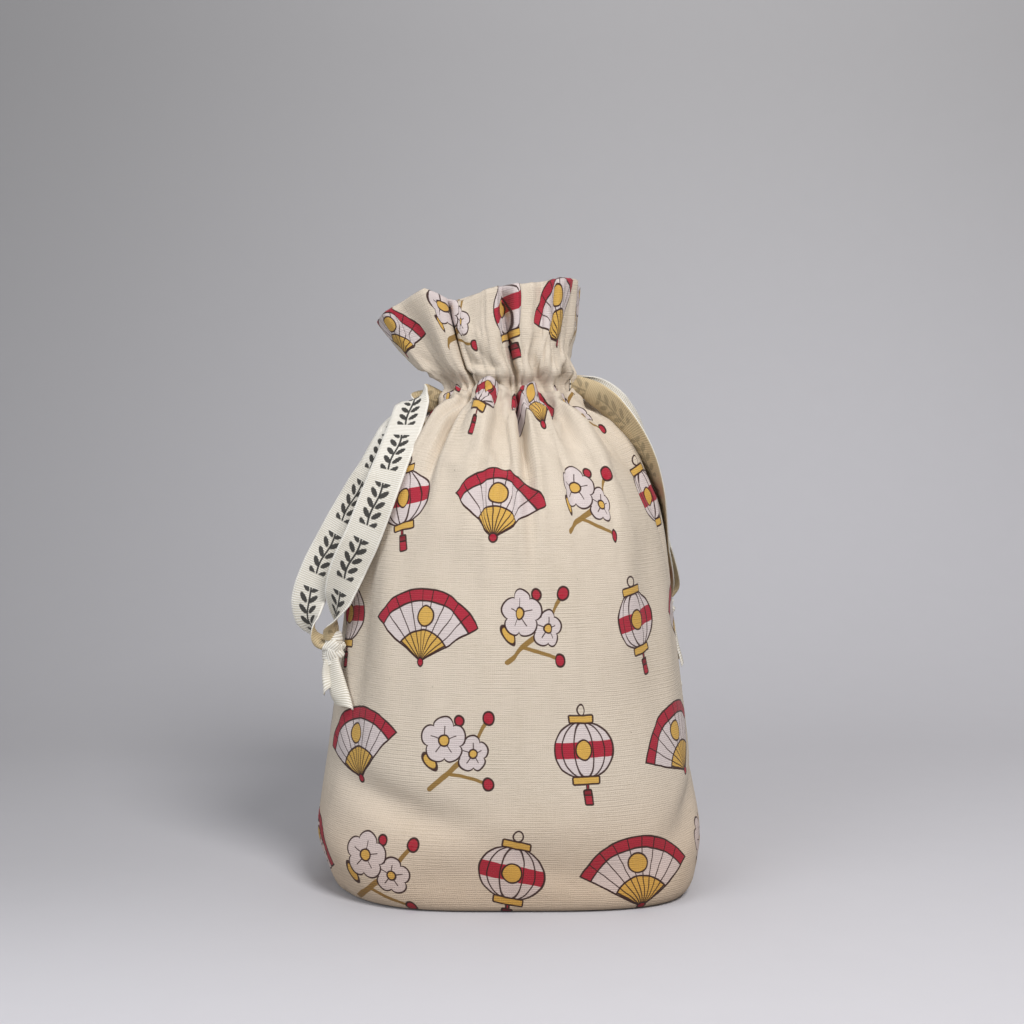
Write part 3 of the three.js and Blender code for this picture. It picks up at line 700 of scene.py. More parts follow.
LEFT_LONG_TAIL = [
    ((-71.2, -29.8, 95), (0.7, -0.7, 0), 3.6),
    ((-70, -31.8, 89), (0.8, -0.6, 0), 6),
    ((-68.6, -34, 83.2), (0.9, -0.45, 0.1), 7.5),
    ((-66.8, -36.2, 77.6), (0.7, -0.7, 0.1), 9),
]
LEFT_SHORT_TAIL = [
    ((-72.4, -28.8, 95), (0.6, 0.8, 0), 3),
    ((-72.4, -29.6, 90), (0.7, 0.7, 0), 5),
    ((-71.4, -31.4, 84.4), (0.75, 0.6, 0.1), 6.5),
]

RIGHT_KNOT = (68.5, 35, 108.5)
RIGHT_FRONT = [
    ((BAND_SIDE, -BAND_END, UPPER_LANE), (0, 0, 1), EXIT_WIDTH),
    ((26.4, -2.8, UPPER_LANE), (0, 0, 1), EXIT_WIDTH),
    ((30, -3.4, 206), (0, -0.1, 1), EXIT_WIDTH),
    ((34.2, -6, 203.6), (0.2, -0.4, 1), 10),
    ((39.6, -10, 199.8), (0.35, -0.7, 0.65), 13),
    ((44.8, -14, 195), (0.4, -0.75, 0.5), FULL),
    ((50.2, -16.4, 188), (0.4, -0.8, 0.45), FULL),
    ((55.4, -15.6, 179.4), (0.35, -0.88, 0.35), FULL),
    ((60.4, -11, 168), (0.25, -0.95, 0.15), FULL),
    ((64.4, -3, 155), (0.1, -1, 0), FULL),
    ((67, 7, 141), (0.1, -1, -0.2), FULL),
    ((68.6, 18, 127.5), (0.3, -1, -0.4), 14),
    ((68.8, 27.6, 118), (0.4, -1, -0.4), 9),
    ((68.2, 32.4, 114.9), (0.4, -1, -0.4), 4.5),
]
RIGHT_BACK = [
    ((BAND_SIDE, BAND_END, UPPER_LANE), (0, 0, 1), EXIT_WIDTH),
    ((26.4, 2.8, UPPER_LANE), (0, 0, 1), EXIT_WIDTH),
    ((30.6, 3, 206.6), (0, 0.1, 1), EXIT_WIDTH),
    ((36.2, 3.8, 205), (0.1, 0.3, 1), 10),
    ((42.4, 4.6, 201.6), (0.3, 0.6, 0.75), 13),
    ((48.6, 6, 196.4), (0.4, 0.75, 0.5), FULL),
    ((54, 8, 188.6), (0.4, 0.85, 0.4), FULL),
    ((58.8, 11, 178.4), (0.25, 0.95, 0.2), FULL),
    ((62.8, 15, 166.4), (0.05, 1, 0.05), FULL),
    ((66.6, 19.5, 153.5), (0, 1, 0.1), FULL),
    ((69.4, 24.5, 140), (-0.1, 1, 0.3), FULL),
    ((72, 31, 126.5), (-0.3, 1, 0.4), 13),
    ((72.6, 35, 118.6), (-0.4, 1, 0.3), 8),
    ((71.2, 36.2, 114.4), (-0.4, 1, 0.2), 4),
]
RIGHT_LONG_TAIL = [
    ((68.9, 35.2, 102.6), (-0.5, 0.9, 0), 4.5),
    ((70, 37.4, 94), (-0.5, 0.9, 0), 9),
    ((72.6, 39, 82), (-0.55, 0.9, 0.1), 12),
    ((75.4, 40, 70), (-0.6, 0.9, 0.1), 13),
]
RIGHT_SHORT_TAIL = [
    ((71.5, 32.8, 103.4), (-0.4, 0.9, 0), 3),
    ((73, 28.4, 95.5), (-0.3, 0.9, 0.1), 7),
    ((75.6, 26, 86), (-0.2, 0.9, 0.15), 10),
]


def curled_section(share, columns):
    """Across a ribbon gathered to a share of its width: places along the width, and how far it curls."""
    place = np.linspace(-1, 1, columns + 1)
    low, high = 1e-3, math.pi * 0.86
    for _ in range(30):
        middle = (low + high) / 2
        low, high = (middle, high) if math.sin(middle) / middle > share else (low, middle)
    turn = low
    radius = 1 / turn
    return radius * np.sin(turn * place), radius * (np.cos(turn * place) - math.cos(turn))


def ribbon_lines(route, spacing):
    """The centre line, width direction, face direction and width of a ribbon, evenly spaced along it."""
    places = np.array([point for point, _, _ in route]) * MM
    directions = unit(np.array([direction for _, direction, _ in route], float))
    widths = np.array([width for _, _, width in route]) * MM
    fine = np.linspace(0, len(route) - 1, 1200)
    run = run_along(curve_through(places, fine))
    count = max(4, round(run[-1] / spacing))
    t = np.interp(np.linspace(0, run[-1], count + 1), run, fine)
    centre = curve_through(places, t)
    along = unit(np.gradient(centre, axis=0))
    wide = curve_through(directions, t)
    wide = unit(wide - along * (wide * along).sum(1, keepdims=True))
    return centre, wide, unit(np.cross(along, wide)), np.interp(t, np.arange(len(widths)), widths)


def ribbon_strip(name, route, curl=0.5, columns=12, start=0.0, slant=0.0, flip=False):
    """A ribbed strip of grosgrain along a route, curled where it is gathered, and its centre line."""
    ribbon = bpy.context.scene.pouch_ribbon
    centre, wide, face, widths = ribbon_lines(route, ribbon.rib_pitch / 4)
    run = run_along(centre)
    if flip:
        face = -face
    shares = np.clip(widths / ribbon.width, 0.05, 0.999)
    sections = {}
    points = np.empty((len(centre), columns + 1, 3))
    rib = np.cos(2 * np.pi * run / ribbon.rib_pitch)
    for i, share in enumerate(shares):
        key = round(share, 2)
        if key not in sections:
            sections[key] = curled_section(min(key, 0.999), columns)
        across, out = sections[key]
        edge = 1 + 0.012 * rib[i]
        across = across * edge * ribbon.width / 2
        lift = (out - out.mean()) * curl * ribbon.width / 2 + ribbon.rib_height * rib[i]
        points[i] = centre[i] + across[:, None] * wide[i] + lift[:, None] * face[i]
    place = np.linspace(-1, 1, columns + 1) * ribbon.width / 2
    if slant:
        along = unit(np.gradient(centre, axis=0))
        ease = smoothstep(run / run[-1], 0.6, 1.0)
        points += (ease[:, None] * place[None, :] * slant)[:, :, None] * along[:, None, :]
    flat = np.dstack(np.broadcast_arrays(place[None, :], (run + start)[:, None]))
    if flip:
        points, flat = points[:, ::-1], flat[:, ::-1]
    piece = grid_piece(name, points, flat)
    thicken(piece, ribbon.thickness)
    return piece, centre


def casing_route(shape, strand):
    """Round the inside of the casing, from one free stretch of a drawstring to the other."""
    (x, y, lane), direction, width = strand[0]
    out = math.copysign(1, x)
    a, b = (shape.neck[k] / MM - BAND_INSET for k in range(2))
    route = [((x + SLIT_OVERLAP * out, y, lane), direction, width)]
    for angle in np.linspace(SLIT_TURN, 2 * math.pi - SLIT_TURN, 25):
        route.append(((out * a * math.cos(angle), -b * math.sin(angle), lane), direction, width))
    return route + [((x + SLIT_OVERLAP * out, -y, lane), direction, width)]


def tied_knot(name, centre, lean):
    """A tight overhand knot: two turns of gathered ribbon round the bundle that runs through it."""
    turns = []
    for tilt, radius, height, turn in ((0.5, 3.0, 1.2, 0.0), (-0.62, 2.7, -1.5, 1.3)):
        ring = []
        for k in range(13):
            angle = turn + k * 2 * math.pi / 12
            place = Vector((radius * math.cos(angle), radius * 0.8 * math.sin(angle), 0))
            rise = height + 0.4 * math.sin(2 * angle + turn)
            direction = Vector((0, 0, 1)) + 0.25 * place.normalized() * math.sin(3 * angle)
            turned_by = Euler((0, tilt + lean, 0)).to_matrix()
            place = turned_by @ (place + Vector((0, 0, rise))) + Vector(centre)
            ring.append((tuple(place), tuple(turned_by @ direction), 4.7 + 0.6 * math.cos(angle * 2)))
        turns.append(ribbon_strip(f"{name}_turn_{len(turns)}", ring, curl=0.3, columns=8)[0])
    bundle = []
    for k, (out, width) in enumerate(((7.0, 3.6), (4.4, 4.4), (0.0, 4.8), (-3.8, 4.4), (-6.2, 3.6))):
        sway = 0.8 * math.sin(k * 1.9)
        place = Euler((0, lean, 0)).to_matrix() @ Vector((sway, -0.3 * sway, out)) + Vector(centre)
        bundle.append((tuple(place), (1, 0.3 * math.cos(k), 0.1), width))
    turns.append(ribbon_strip(f"{name}_bundle", bundle, curl=0.8, columns=10)[0])
    return joined(turns, name)


def joined(pieces, name):
    """Several pieces as one, with their modifiers applied."""
    bpy.context.view_layer.update()
    graph = bpy.context.evaluated_depsgraph_get()
    bm = bmesh.new()
    for piece in pieces:
        mesh = bpy.data.meshes.new_from_object(piece.evaluated_get(graph))
        bm.from_mesh(mesh)
        bpy.data.meshes.remove(mesh)
    for piece in pieces:
        bpy.data.objects.remove(piece)
    return piece_from(bm, name)


class POUCH_OT_drawstrings(bpy.types.Operator):
    """Makes both drawstrings: their bands in the casing, free stretches, knots and tails."""

    bl_idname = "pouch.drawstrings"
    bl_label = "Drawstrings"

    def execute(self, context):
        marked = [
            ribbon_material("marked grosgrain", True, True),
            ribbon_material("marked grosgrain, inner side", False, True),
        ]
        plain = [ribbon_material("grosgrain", True), ribbon_material("grosgrain, inner side", False)]
        sides = {
            "left": (LEFT_FRONT, LEFT_BACK, LEFT_KNOT, 0.1, LEFT_LONG_TAIL, LEFT_SHORT_TAIL),
            "right": (RIGHT_FRONT, RIGHT_BACK, RIGHT_KNOT, -0.2, RIGHT_LONG_TAIL, RIGHT_SHORT_TAIL),
        }
        for side, (front, back, centre, lean, long_tail, short_tail) in sides.items():
            knot = tied_knot(f"{side}_knot", centre, lean)
            tails = [
                ribbon_strip(f"{side}_long_tail", long_tail, curl=-0.4, slant=0.5, flip=True)[0],
                ribbon_strip(f"{side}_short_tail", short_tail, curl=-0.4, slant=-0.4, flip=True)[0],
            ]
            round_casing = casing_route(context.scene.pouch_shape, front)
            band = ribbon_strip(f"{side}_casing_ribbon", round_casing, curl=0.25)[0]
            pieces = {"knot": knot, "long_tail": tails[0], "short_tail": tails[1], "band": band}
            for part, piece in pieces.items():
                finish_piece(piece, plain, [f"{side}_drawstring_{part}"])
            for part, route, extras in (("front", front, [knot, *tails]), ("back", back, [])):
                flip = (side, part) != ("right", "front")
                strand, line = ribbon_strip(f"{side}_{part}_strand", route, start=PRINT_START, flip=flip)
                finish_piece(strand, marked, [f"{side}_drawstring_{part}_strand"])
        return {"FINISHED"}


# The cloth

# Each ridge or furrow of the gathers, in millimetres: its place across the panel from the left seam to the
# right, how far it sinks in at the neck, how far down it reaches, and where it ends on the frill's fold
LEFT_SEAM = (0, 1, 10, (-55, 0, 233))
RIGHT_SEAM = (1, 1, 10, (30, 0, 249))
GATHERS = {
    FRONT: [
        LEFT_SEAM,
        (0.1, 0, 12, (-50, -10, 237)),
        (0.185, 6, 44, (-43, -11.5, 240.5)),
        (0.25, -0.5, 12, (-33, -19, 245.5)),
        (0.286, 0.5, 14, (-25.2, -17, 242.6)),
        (0.305, 8, 22, (-27.4, -4.5, 240.8)),
        (0.326, 0.5, 14, (-22.4, -12.5, 241.6)),
        (0.43, -1, 16, (-9, -18.5, 246)),
        (0.528, 0, 16, (-0.8, -18, 247.6)),
        (0.548, 9.5, 36, (-3.4, -4.5, 247.2)),
        (0.57, 0, 14, (2.8, -14, 248.4)),
        (0.617, -0.5, 12, (9, -16, 249)),
        (0.675, 7, 15, (15.5, -13.5, 249.5)),
        (0.75, -0.5, 12, (22.5, -18, 250.5)),
        (0.825, 6.5, 20, (28, -12.5, 250.5)),
        (0.905, 0, 12, (32, -6.5, 250)),
        RIGHT_SEAM,
    ],
    BACK: [
        LEFT_SEAM,
        (0.1, 0, 12, (-50, 11, 234.5)),
        (0.18, 6, 22, (-42, 8, 236.5)),
        (0.265, -0.5, 14, (-33, 20, 240)),
        (0.345, 8, 40, (-22, 7, 242)),
        (0.43, -1, 14, (-14, 21.5, 245)),
        (0.5, 7, 20, (-6, 11, 246.5)),
        (0.58, -0.5, 12, (2, 20, 249)),
        (0.66, 8, 46, (11, 5.5, 248.5)),
        (0.745, -0.5, 12, (20, 20.5, 249)),
        (0.83, 6.5, 18, (26, 12, 248.5)),
        (0.91, 0, 12, (33, 9, 248)),
        RIGHT_SEAM,
    ],
}
# Soft folds of the body: the panel, then where each starts and ends (its place across the panel from the left
# seam to the right, and its height), how deep it is and its half width, in millimetres
CREASES = (
    (FRONT, (0.13, 186), (0.055, 66), 2.6, 6),
    (FRONT, (0.615, 197), (0.665, 152), 1.8, 3),
    (FRONT, (0.87, 182), (0.93, 128), 2.2, 5),
    (FRONT, (0.31, 188), (0.27, 128), 1.4, 6),
    (FRONT, (0.045, 34), (0.17, 1.5), 2.2, 2.6),
    (FRONT, (0.955, 40), (0.87, 1.5), 1.8, 2.8),
    (BACK, (0.2, 188), (0.12, 90), 2.4, 6),
    (BACK, (0.7, 190), (0.8, 108), 2.2, 5),
    (BACK, (0.45, 186), (0.42, 130), 1.6, 5),
    (BACK, (0.05, 32), (0.16, 1.5), 1.8, 2.8),
    (BACK, (0.94, 42), (0.85, 1.5), 2.2, 3),
)
# Broad dents of the filled body, or bulges where the depth is below 0: the panel, the place across it from
# the left seam to the right, the height, half length and half width, the tilt in degrees, and the depth
DENTS = (
    (FRONT, 0.3, 42, 34, 7, -16, 5.0),
    (FRONT, 0.2, 20, 20, 11, -20, -1.8),
    (FRONT, 0.55, 14, 40, 10, 3, 3.6),
    (FRONT, 0.5, 33, 30, 8, 6, -1.2),
    (FRONT, 0.86, 36, 24, 7, 28, 3.8),
    (FRONT, 0.0, 8, 30, 9, 0, 4.5),
    (FRONT, 1.0, 8, 26, 9, 0, 4.2),
    (FRONT, 0.19, 98, 7, 34, 6, 2.2),
    (FRONT, 0.26, 108, 7, 30, 8, -1.3),
    (FRONT, 0.8, 112, 9, 34, -8, 1.8),
    (FRONT, 0.62, 78, 26, 14, 24, 1.4),
    (FRONT, 0.4, 132, 20, 14, -30, 1.2),
    (FRONT, 0.72, 160, 8, 20, -14, 1.6),
    (BACK, 0.3, 44, 34, 9, 12, 3.2),
    (BACK, 0.7, 30, 30, 9, -16, 2.8),
    (BACK, 0.5, 12, 34, 9, 0, 2.2),
    (BACK, 0.24, 110, 9, 36, -6, 2.2),
    (BACK, 0.62, 92, 22, 14, 30, 1.8),
    (BACK, 0.78, 138, 8, 26, 12, 2.0),
    (BACK, 0.45, 150, 9, 24, 8, 1.6),
)
LEVEL_NAMES = ("foot", "kerb", "belly", "hip", "waist", "chest", "shoulder", "collar", "neck")
# How square the section is at each level, from the foot's middle to the casing's top, and how much squarer it
# is on the right than in the middle
SQUARE = (3.3, 3.3, 3.1, 2.8, 2.45, 2.3, 2.2, 2.1, 2.0, 2.0, 2.0)
SKEW = (0.9, 0.9, 0.7, 0.4, 0.1, 0, 0, 0, 0, 0, 0)
TOP = len(SQUARE) - 1
# The drawn line's height, in metres
PINCH_HEIGHT = 0.2062
# The rest of these are in millimetres, unless they are shares. What the pleats take off the pinch, and how
# much further in than the pinch the cloth may sink at the drawn line
PINCH_EASE, PINCH_ROOM = 1.3, 4.1
# Half the girth, by which a crease's or a dent's place across a panel becomes a distance
CREASE_SPAN, DENT_SPAN = 230, 235
# The cloth puffs up and out under the drawn line, and out at the side seams: the height, half height, lift
# and reach of the first, and the height, half height and reach of the second
PUFF_HEIGHT, PUFF_HALF, PUFF_LIFT, PUFF_OUT = 195, 6.2, 15, 2
SEAM_HEIGHT, SEAM_HALF, SEAM_OUT = 184, 7, 2
# The share by which the casing already opens towards the frill, how much more it does at the left seam, over
# which share of a panel, and the heights between which it opens
FLARE, LEFT_FLARE, LEFT_SHARE = 0.09, 0.13, 0.17
FLARE_LOW, FLARE_HIGH = 205.5, 212


class Envelope:
    """The filled pouch's cloth as one ring of columns, front from left to right and then back again."""

    def __init__(self, shape, cloth, columns):
        half = 0.45 * MM
        levels = [(shape.foot[0] - 4 * MM, 0.1 * MM, shape.foot[2])]
        for name in LEVEL_NAMES:
            a, b, z = getattr(shape, name)
            inset = 0 if name == "foot" else half
            levels.append((a - inset, b - inset, z))
        a, b, z = levels[-1]
        levels.append((a, b, z + shape.casing_height))
        self.levels = np.array(levels)
        self.shape = shape
        ring = np.arange(2 * columns) / columns
        self.side = np.where(ring < 1, FRONT, BACK)
        self.u = np.where(self.side == FRONT, ring, 2 - ring)
        self.ring = ring
        chance = np.random.default_rng(5)
        self.furrows = []
        for k in range(cloth.pleats):
            place = (k + chance.uniform(-0.28, 0.28)) * 2 / cloth.pleats
            depth, above, lean = chance.uniform(2.8, 5.4), chance.uniform(3, 8), chance.uniform(-0.012, 0.012)
            below = 7 + 30 * chance.uniform(0, 1) ** 2
            self.furrows.append((place, depth, below, above, lean))

    def smooth(self, t):
        """The ungathered surface at each level value of t."""
        t = np.minimum(t, TOP)
        a, b, z = (through_levels(self.levels[:, k], t) for k in range(3))
        square, skew = through_levels(SQUARE, t), through_levels(SKEW, t)
        angle = np.pi * (1 - np.linspace(0, 1, 481))
        points = np.empty((len(t), len(self.u), 3))
        for row in range(len(t)):
            power = 2 / (square[row] + skew[row] * np.cos(angle))
            x = a[row] * np.sign(np.cos(angle)) * np.abs(np.cos(angle)) ** power
            y = b[row] * np.clip(np.sin(angle), 0, 1) ** power
            run = np.concatenate([[0], np.cumsum(np.hypot(np.diff(x), np.diff(y)))])
            wanted = self.u * run[-1]
            points[row, :, 0] = np.interp(wanted, run, x)
            points[row, :, 1] = self.side * np.interp(wanted, run, y)
            points[row, :, 2] = z[row]
        return points

    def gathers(self, key):
        """For each column, one value of the gathers on both sides of it, and the eased share between them."""
        first, second, share = (np.empty(len(self.u)) for _ in range(3))
        for side in (FRONT, BACK):
            at = np.array([gather[0] for gather in GATHERS[side]])
            values = np.array([gather[key] for gather in GATHERS[side]], float)
            here = self.side == side
            k = np.clip(np.searchsorted(at, self.u[here]) - 1, 0, len(at) - 2)
            first[here], second[here] = values[k], values[k + 1]
            share[here] = (self.u[here] - at[k]) / (at[k + 1] - at[k])
        return first, second, share

    def sunk(self, z):
        """How far the gathers sink the cloth in at each height and column."""
        below = np.maximum(0, self.shape.neck[2] - z) / MM
        depth1, depth2, share = self.gathers(1)
        reach1, reach2, _ = self.gathers(2)
        ease = (1 - np.cos(np.pi * share)) / 2
        first = depth1 * np.exp(-((below[:, None] / reach1) ** 1.4))
        second = depth2 * np.exp(-((below[:, None] / reach2) ** 1.4))
        return (first * (1 - ease) + second * ease) * MM

    def rim(self):
        """The folded top edge of the frill."""
        mouths = [gather[3] for gather in GATHERS[FRONT]]
        mouths += [gather[3] for gather in GATHERS[BACK][-2:0:-1]]
        places = np.empty(len(self.u))
        for side in (FRONT, BACK):
            at = np.array([gather[0] for gather in GATHERS[side]])
            here = self.side == side
            place = np.interp(self.u[here], at, np.arange(len(at)))
            places[here] = place if side == FRONT else len(mouths) - place
        places = places % len(mouths)
        loop = np.array(mouths + mouths[:1], float)
        pressed = np.stack([np.interp(places, np.arange(len(loop)), loop[:, k]) for k in range(3)], 1)
        return (0.35 * curve_through(mouths, places, closed=True) + 0.65 * pressed) * MM

    def pleated(self, z):
        """How far the fine pleats sink the cloth in: narrow furrows from the drawn line, which die out."""
        line = (z - PINCH_HEIGHT) / MM
        sunk = np.zeros((len(z), len(self.ring)))
        for place, depth, below, above, lean in self.furrows:
            away = np.abs((self.ring[None, :] - place - (lean * line / 10)[:, None] + 1) % 2 - 1)
            fade = np.exp(-((np.abs(line) / np.where(line < 0, below, above)) ** 1.5))
            width = 0.017 * (1 + np.abs(line) / 14)
            sunk += (depth * fade)[:, None] * np.exp(-((away / width[:, None]) ** 1.3))
        return sunk * MM

    def creased(self, z):
        """How far the soft folds of the body sink the cloth in."""
        sunk = np.zeros((len(z), len(self.ring)))
        for side, (u1, z1), (u2, z2), depth, half_width in CREASES:
            share = np.clip((z1 - z / MM) / (z1 - z2), 0, 1)
            place = u1 + (u2 - u1) * share
            place = place if side == FRONT else 2 - place
            away = np.abs((self.ring[None, :] - place[:, None] + 1) % 2 - 1) * CREASE_SPAN
            fade = np.sin(np.pi * share) ** 0.6
            sunk += (depth * fade)[:, None] * np.exp(-((away / half_width) ** 1.5))
        return sunk * MM

    def dented(self, z):
        """How far the broad dents of the body sink the cloth in."""
        sunk = np.zeros((len(z), len(self.ring)))
        for side, u, height, half_length, half_width, tilt, depth in DENTS:
            place = u if side == FRONT else 2 - u
            across = (((self.ring - place + 1) % 2 - 1) * DENT_SPAN)[None, :]
            up = (z / MM - height)[:, None]
            c, s = math.cos(math.radians(tilt)), math.sin(math.radians(tilt))
            along, aside = across * c + up * s, up * c - across * s
            sunk += depth * np.exp(-((along / half_length) ** 2) - (aside / half_width) ** 2)
        return sunk * smoothstep(z, 0.5 * MM, 4 * MM)[:, None] * MM

    def hidden(self):
        """For each column, the share of its panel's hidden cloth that lies in the furrows before it."""
        density = np.full(len(self.ring), 0.02)
        for place, depth, _, _, _ in self.furrows:
            away = np.abs((self.ring - place + 1) % 2 - 1)
            density += depth * np.exp(-((away / 0.006) ** 2))
        before = np.concatenate([[0], np.cumsum(density)])
        half = len(self.ring) // 2
        front = (before[: half + 1] - before[0]) / (before[half] - before[0])
        back = (before[half:] - before[half]) / (before[-1] - before[half])
        return {FRONT: front, BACK: 1 - back}

    def points(self, t, pleats=True):
        """The gathered cloth's middle surface; t counts levels, and its last step is the frill."""
        shape = self.shape
        smooth = self.smooth(t)
        z = through_levels(self.levels[:, 2], np.minimum(t, TOP))
        around = np.roll(smooth, -1, 1) - np.roll(smooth, 1, 1)
        up = np.gradient(smooth, axis=0)
        up[np.linalg.norm(up[:, 0], axis=1) < 1e-6] = (0, 0, 1)
        normal = unit(np.cross(around, up))
        normal[t >= TOP - 1] = unit(normal[t >= TOP - 1] * (1, 1, 0))
        normal[z < 1 * MM] = (0, 0, -1)
        depth = self.sunk(z) + self.creased(z) + self.dented(z)
        near = (z - PINCH_HEIGHT) / shape.pinch_reach
        pinched = (shape.pinch_depth - PINCH_EASE * MM) * np.exp(-(near**2))
        depth = depth + pinched[:, None]
        if pleats:
            depth = depth + self.pleated(z)
        room = shape.pinch_depth + PINCH_ROOM * MM
        drawn = np.exp(-(((z - PINCH_HEIGHT) / (1.6 * shape.pinch_reach)) ** 4))[:, None]
        depth = np.where(depth > room, depth + (room - depth) * drawn, depth)
        cloth = smooth - normal * depth[:, :, None]
        puff = np.exp(-(((z - PUFF_HEIGHT * MM) / (PUFF_HALF * MM)) ** 2))[:, None]
        puff = puff * np.sin(np.pi * self.u) ** 0.45 * (0.82 + 0.18 * np.cos(9 * np.pi * self.ring + 1))
        cloth[:, :, 2] += puff * np.maximum(PUFF_LIFT * MM - 0.8 * depth, 3 * MM)
        cloth += normal * (puff * PUFF_OUT * MM)[:, :, None]
        seam = np.exp(-(((z - SEAM_HEIGHT * MM) / (SEAM_HALF * MM)) ** 2))[:, None]
        seam = seam * np.cos(np.pi * self.u) ** 2
        cloth += normal * (seam * SEAM_OUT * MM)[:, :, None]
        rim = self.rim()[None]
        frill = np.clip(t - TOP, 0, 1)[:, None]
        left = np.exp(-((np.minimum(self.ring, 2 - self.ring) / LEFT_SHARE) ** 2))[None]
        out = (FLARE + LEFT_FLARE * left) * smoothstep(z, FLARE_LOW * MM, FLARE_HIGH * MM)[:, None]
        out = out + (1 - out) * frill**0.8
        cloth[:, :, :2] = cloth[:, :, :2] * (1 - out[:, :, None]) + rim[:, :, :2] * out[:, :, None]
        cloth[:, :, 2] = cloth[:, :, 2] * (1 - frill) + rim[:, :, 2] * frill
        return cloth


def even_rows(envelope, count):
    """Level values that space the rows evenly up the middle of the panels."""
    t = np.linspace(0, TOP + 1, 700)
    run = np.concatenate([[0], np.cumsum(row_steps(envelope.points(t)))])
    return np.interp(np.linspace(0, run[-1], count + 1), run, t)


# The cloth settles at a larger scale and with fewer rows. The last two are how far a point may move, and the
# half height over which the drawn line is held, in millimetres
SIM_SCALE = 10
SIM_FRAMES = 26
SIM_ROWS = 120
SIM_LIMIT = 8
SIM_HELD = 4.5
# How far inside the cloth the stuffing lies, how much further at the shoulder and between which heights, in
# millimetres, and its share of the gathers' depth
STUFFING_INSET, SHOULDER_INSET = 1.3, 3.5
SHOULDER_LOW, SHOULDER_HIGH = 150, 188
STUFFING_GATHERS = 0.7


def stuffing(envelope):
    """What the pouch holds, as a smooth form just inside the cloth, for the cloth to rest on."""
    t = np.linspace(1, TOP - 1, 56)
    smooth = envelope.smooth(t)
    normal = outward(smooth)
    z = smooth[:, :, 2] / MM
    height = smooth[:, 0, 2]
    inset = (STUFFING_INSET + SHOULDER_INSET * smoothstep(z, SHOULDER_LOW, SHOULDER_HIGH)) * MM
    inset = inset + STUFFING_GATHERS * envelope.sunk(height)
    inset = inset + envelope.dented(height) + envelope.creased(height)
    form = (smooth - normal * inset[:, :, None])[:, ::2] * SIM_SCALE
    ring = np.concatenate([form, form[:, :1]], 1)
    piece = grid_piece("stuffing", ring, ring[:, :, :2])
    piece.modifiers.new("collision", "COLLISION")
    piece.collision.thickness_outer = 0.004
    piece.collision.cloth_friction = 8
    return piece


def flat_tube(ring, fullness):
    """The cloth laid out as an open tube in which every row has its true length."""
    radius = girth(ring) * fullness / (2 * np.pi)
    steps = row_steps(ring)
    rise = np.sqrt(np.maximum(steps**2 - np.diff(radius) ** 2, (0.3 * steps) ** 2))
    height = np.concatenate([[0], np.cumsum(rise)])
    angle = np.pi + 2 * np.pi * np.arange(ring.shape[1]) / ring.shape[1]
    turned_out = [radius[:, None] * np.cos(angle), radius[:, None] * np.sin(angle)]
    return np.stack([*turned_out, np.broadcast_to(height[:, None], turned_out[0].shape)], 2)


def settled(envelope, ring):
    """A cloth simulation: the canvas, wider than the form that it is gathered to, settles into folds."""
    scene = bpy.context.scene
    rows, columns = ring.shape[:2]
    z = ring[:, :, 2].mean(1) / MM
    body = 0.02 + 0.05 * smoothstep(z, 60, 150) + 0.10 * smoothstep(z, 150, 186)
    frill = 0.10 * smoothstep(z, 214, 226)
    fullness = 1 + np.where(z < PINCH_HEIGHT / MM, body, frill) * smoothstep(z, 6, 30)
    flat = flat_tube(ring, fullness)
    bm = bmesh.new()
    bmesh.ops.create_grid(bm, x_segments=columns, y_segments=rows - 1, size=1)
    place = bm.verts.layers.int.new("place")
    for vert in bm.verts:
        column = round((vert.co.x + 1) / 2 * columns) % columns
        row = round((vert.co.y + 1) / 2 * (rows - 1))
        vert[place] = row * columns + column
        vert.co = Vector(ring[row, column]) * SIM_SCALE
    bmesh.ops.remove_doubles(bm, verts=bm.verts, dist=1e-6)
    piece = piece_from(bm, "settling")
    where = np.empty(len(piece.data.vertices), np.int32)
    piece.data.attributes["place"].data.foreach_get("value", where)
    piece.shape_key_add(name="gathered")
    laid = piece.shape_key_add(name="laid out")
    laid.data.foreach_set("co", (flat.reshape(-1, 3)[where] * SIM_SCALE).ravel())
    height = z[where // columns]
    held = piece.vertex_groups.new(name="held")
    for low, high in ((-1, 1.5), (PINCH_HEIGHT / MM - SIM_HELD, PINCH_HEIGHT / MM + SIM_HELD)):
        inside = np.flatnonzero((height > low) & (height < high))
        held.add([int(i) for i in inside], 1.0, "REPLACE")
    modifier = piece.modifiers.new("settling", "CLOTH")
    settings, contact = modifier.settings, modifier.collision_settings
    settings.rest_shape_key = laid
    settings.vertex_group_mass = "held"
    settings.quality = 6
    settings.mass = 0.3
    settings.air_damping = 3
    settings.tension_stiffness = settings.compression_stiffness = 25
    settings.shear_stiffness = 12
    settings.bending_stiffness = 0.8
    settings.effector_weights.gravity = 0.15
    contact.distance_min = 0.006
    contact.use_self_collision = True
    contact.self_distance_min = 0.007
    contact.collision_quality = 2
    form = stuffing(envelope)
    modifier.point_cache.frame_end = SIM_FRAMES
    for frame in range(1, SIM_FRAMES + 1):
        scene.frame_set(frame)
    graph = bpy.context.evaluated_depsgraph_get()
    result = np.empty((rows * columns, 3))
    result[where] = places_of(piece.evaluated_get(graph).to_mesh()) / SIM_SCALE
    result = result.reshape(rows, columns, 3)
    scene.frame_set(1)
    for made in (piece, form):
        bpy.data.objects.remove(made)
    return result - ring


